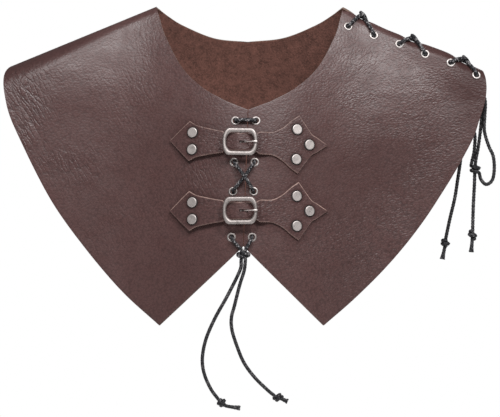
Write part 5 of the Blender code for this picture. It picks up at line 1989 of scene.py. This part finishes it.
class ARMOUR_OT_studio(bpy.types.Operator):
    """Makes the pale floor, the even white surroundings and the soft lights"""

    bl_idname = "armour.studio"
    bl_label = "Studio"

    def execute(self, context):
        settings = context.scene.armour_studio
        bm = bmesh.new()
        level = Matrix.Translation((0, 0, floor_height))
        bmesh.ops.create_grid(bm, x_segments=1, y_segments=1, size=floor_size, matrix=level)
        n = Nodes("floor_paper")
        tone = n.map(n.noise(2.0, 2.0), 0.3, 0.7)
        paler = [min(1.0, c * 1.03) for c in settings.floor_colour]
        n.set(Base_Color=n.blend(tone, settings.floor_colour, paler), Roughness=0.9)
        floor = settle("floor", bm, [n.material])
        world = bpy.data.worlds.new("white_surroundings")
        world.use_nodes = True
        context.scene.world = world
        tree = world.node_tree
        back = tree.nodes["Background"]
        back.inputs["Color"].default_value = (1, 1, 1, 1)
        seen = tree.nodes.new("ShaderNodeLightPath")
        power = tree.nodes.new("ShaderNodeMapRange")
        power.inputs["To Min"].default_value = settings.ambient
        power.inputs["To Max"].default_value = 1.0
        tree.links.new(seen.outputs["Is Camera Ray"], power.inputs["Value"])
        tree.links.new(power.outputs[0], back.inputs["Strength"])
        soft_light("key_light", *key_light, settings.key_power)
        soft_light("back_light", *back_light, settings.back_power)
        soft_light("fill_light", *fill_light, settings.fill_power)
        view = context.scene.view_settings
        view.view_transform = "Standard"
        view.look = "None"
        return {"FINISHED"}


# The add-on


GROUPS = {
    "armour_leather": LeatherSettings,
    "armour_metal": MetalSettings,
    "armour_cord": CordSettings,
    "armour_studio": StudioSettings,
}
STEPS = (
    ARMOUR_OT_camera, ARMOUR_OT_cords, ARMOUR_OT_leather, ARMOUR_OT_straps,
    ARMOUR_OT_eyelets, ARMOUR_OT_rivets, ARMOUR_OT_buckles, ARMOUR_OT_studio,
)


class ARMOUR_PT_panel(bpy.types.Panel):
    """Settings and steps of the shoulder armour"""

    bl_idname = "ARMOUR_PT_panel"
    bl_label = "Shoulder armour"
    bl_space_type = "VIEW_3D"
    bl_region_type = "UI"
    bl_category = "Armour"

    def draw(self, context):
        for step in STEPS:
            self.layout.operator(step.bl_idname)
        for name, group in GROUPS.items():
            box = self.layout.box()
            for key in group.__annotations__:
                box.prop(getattr(context.scene, name), key)


def register():
    """Registers the settings, the steps and the panel."""
    for item in (*GROUPS.values(), *STEPS, ARMOUR_PT_panel):
        bpy.utils.register_class(item)
    for name, group in GROUPS.items():
        setattr(bpy.types.Scene, name, PointerProperty(type=group))


def unregister():
    """Takes the settings, the steps and the panel away."""
    for name in GROUPS:
        delattr(bpy.types.Scene, name)
    for item in reversed((*GROUPS.values(), *STEPS, ARMOUR_PT_panel)):
        bpy.utils.unregister_class(item)


def main():
    """Makes the whole scene, step by step."""
    register()
    bpy.ops.armour.camera()
    bpy.ops.armour.cords()
    bpy.ops.armour.leather()
    bpy.ops.armour.straps()
    bpy.ops.armour.eyelets()
    bpy.ops.armour.rivets()
    bpy.ops.armour.buckles()
    bpy.ops.armour.studio()


if __name__ == "__main__":
    main()
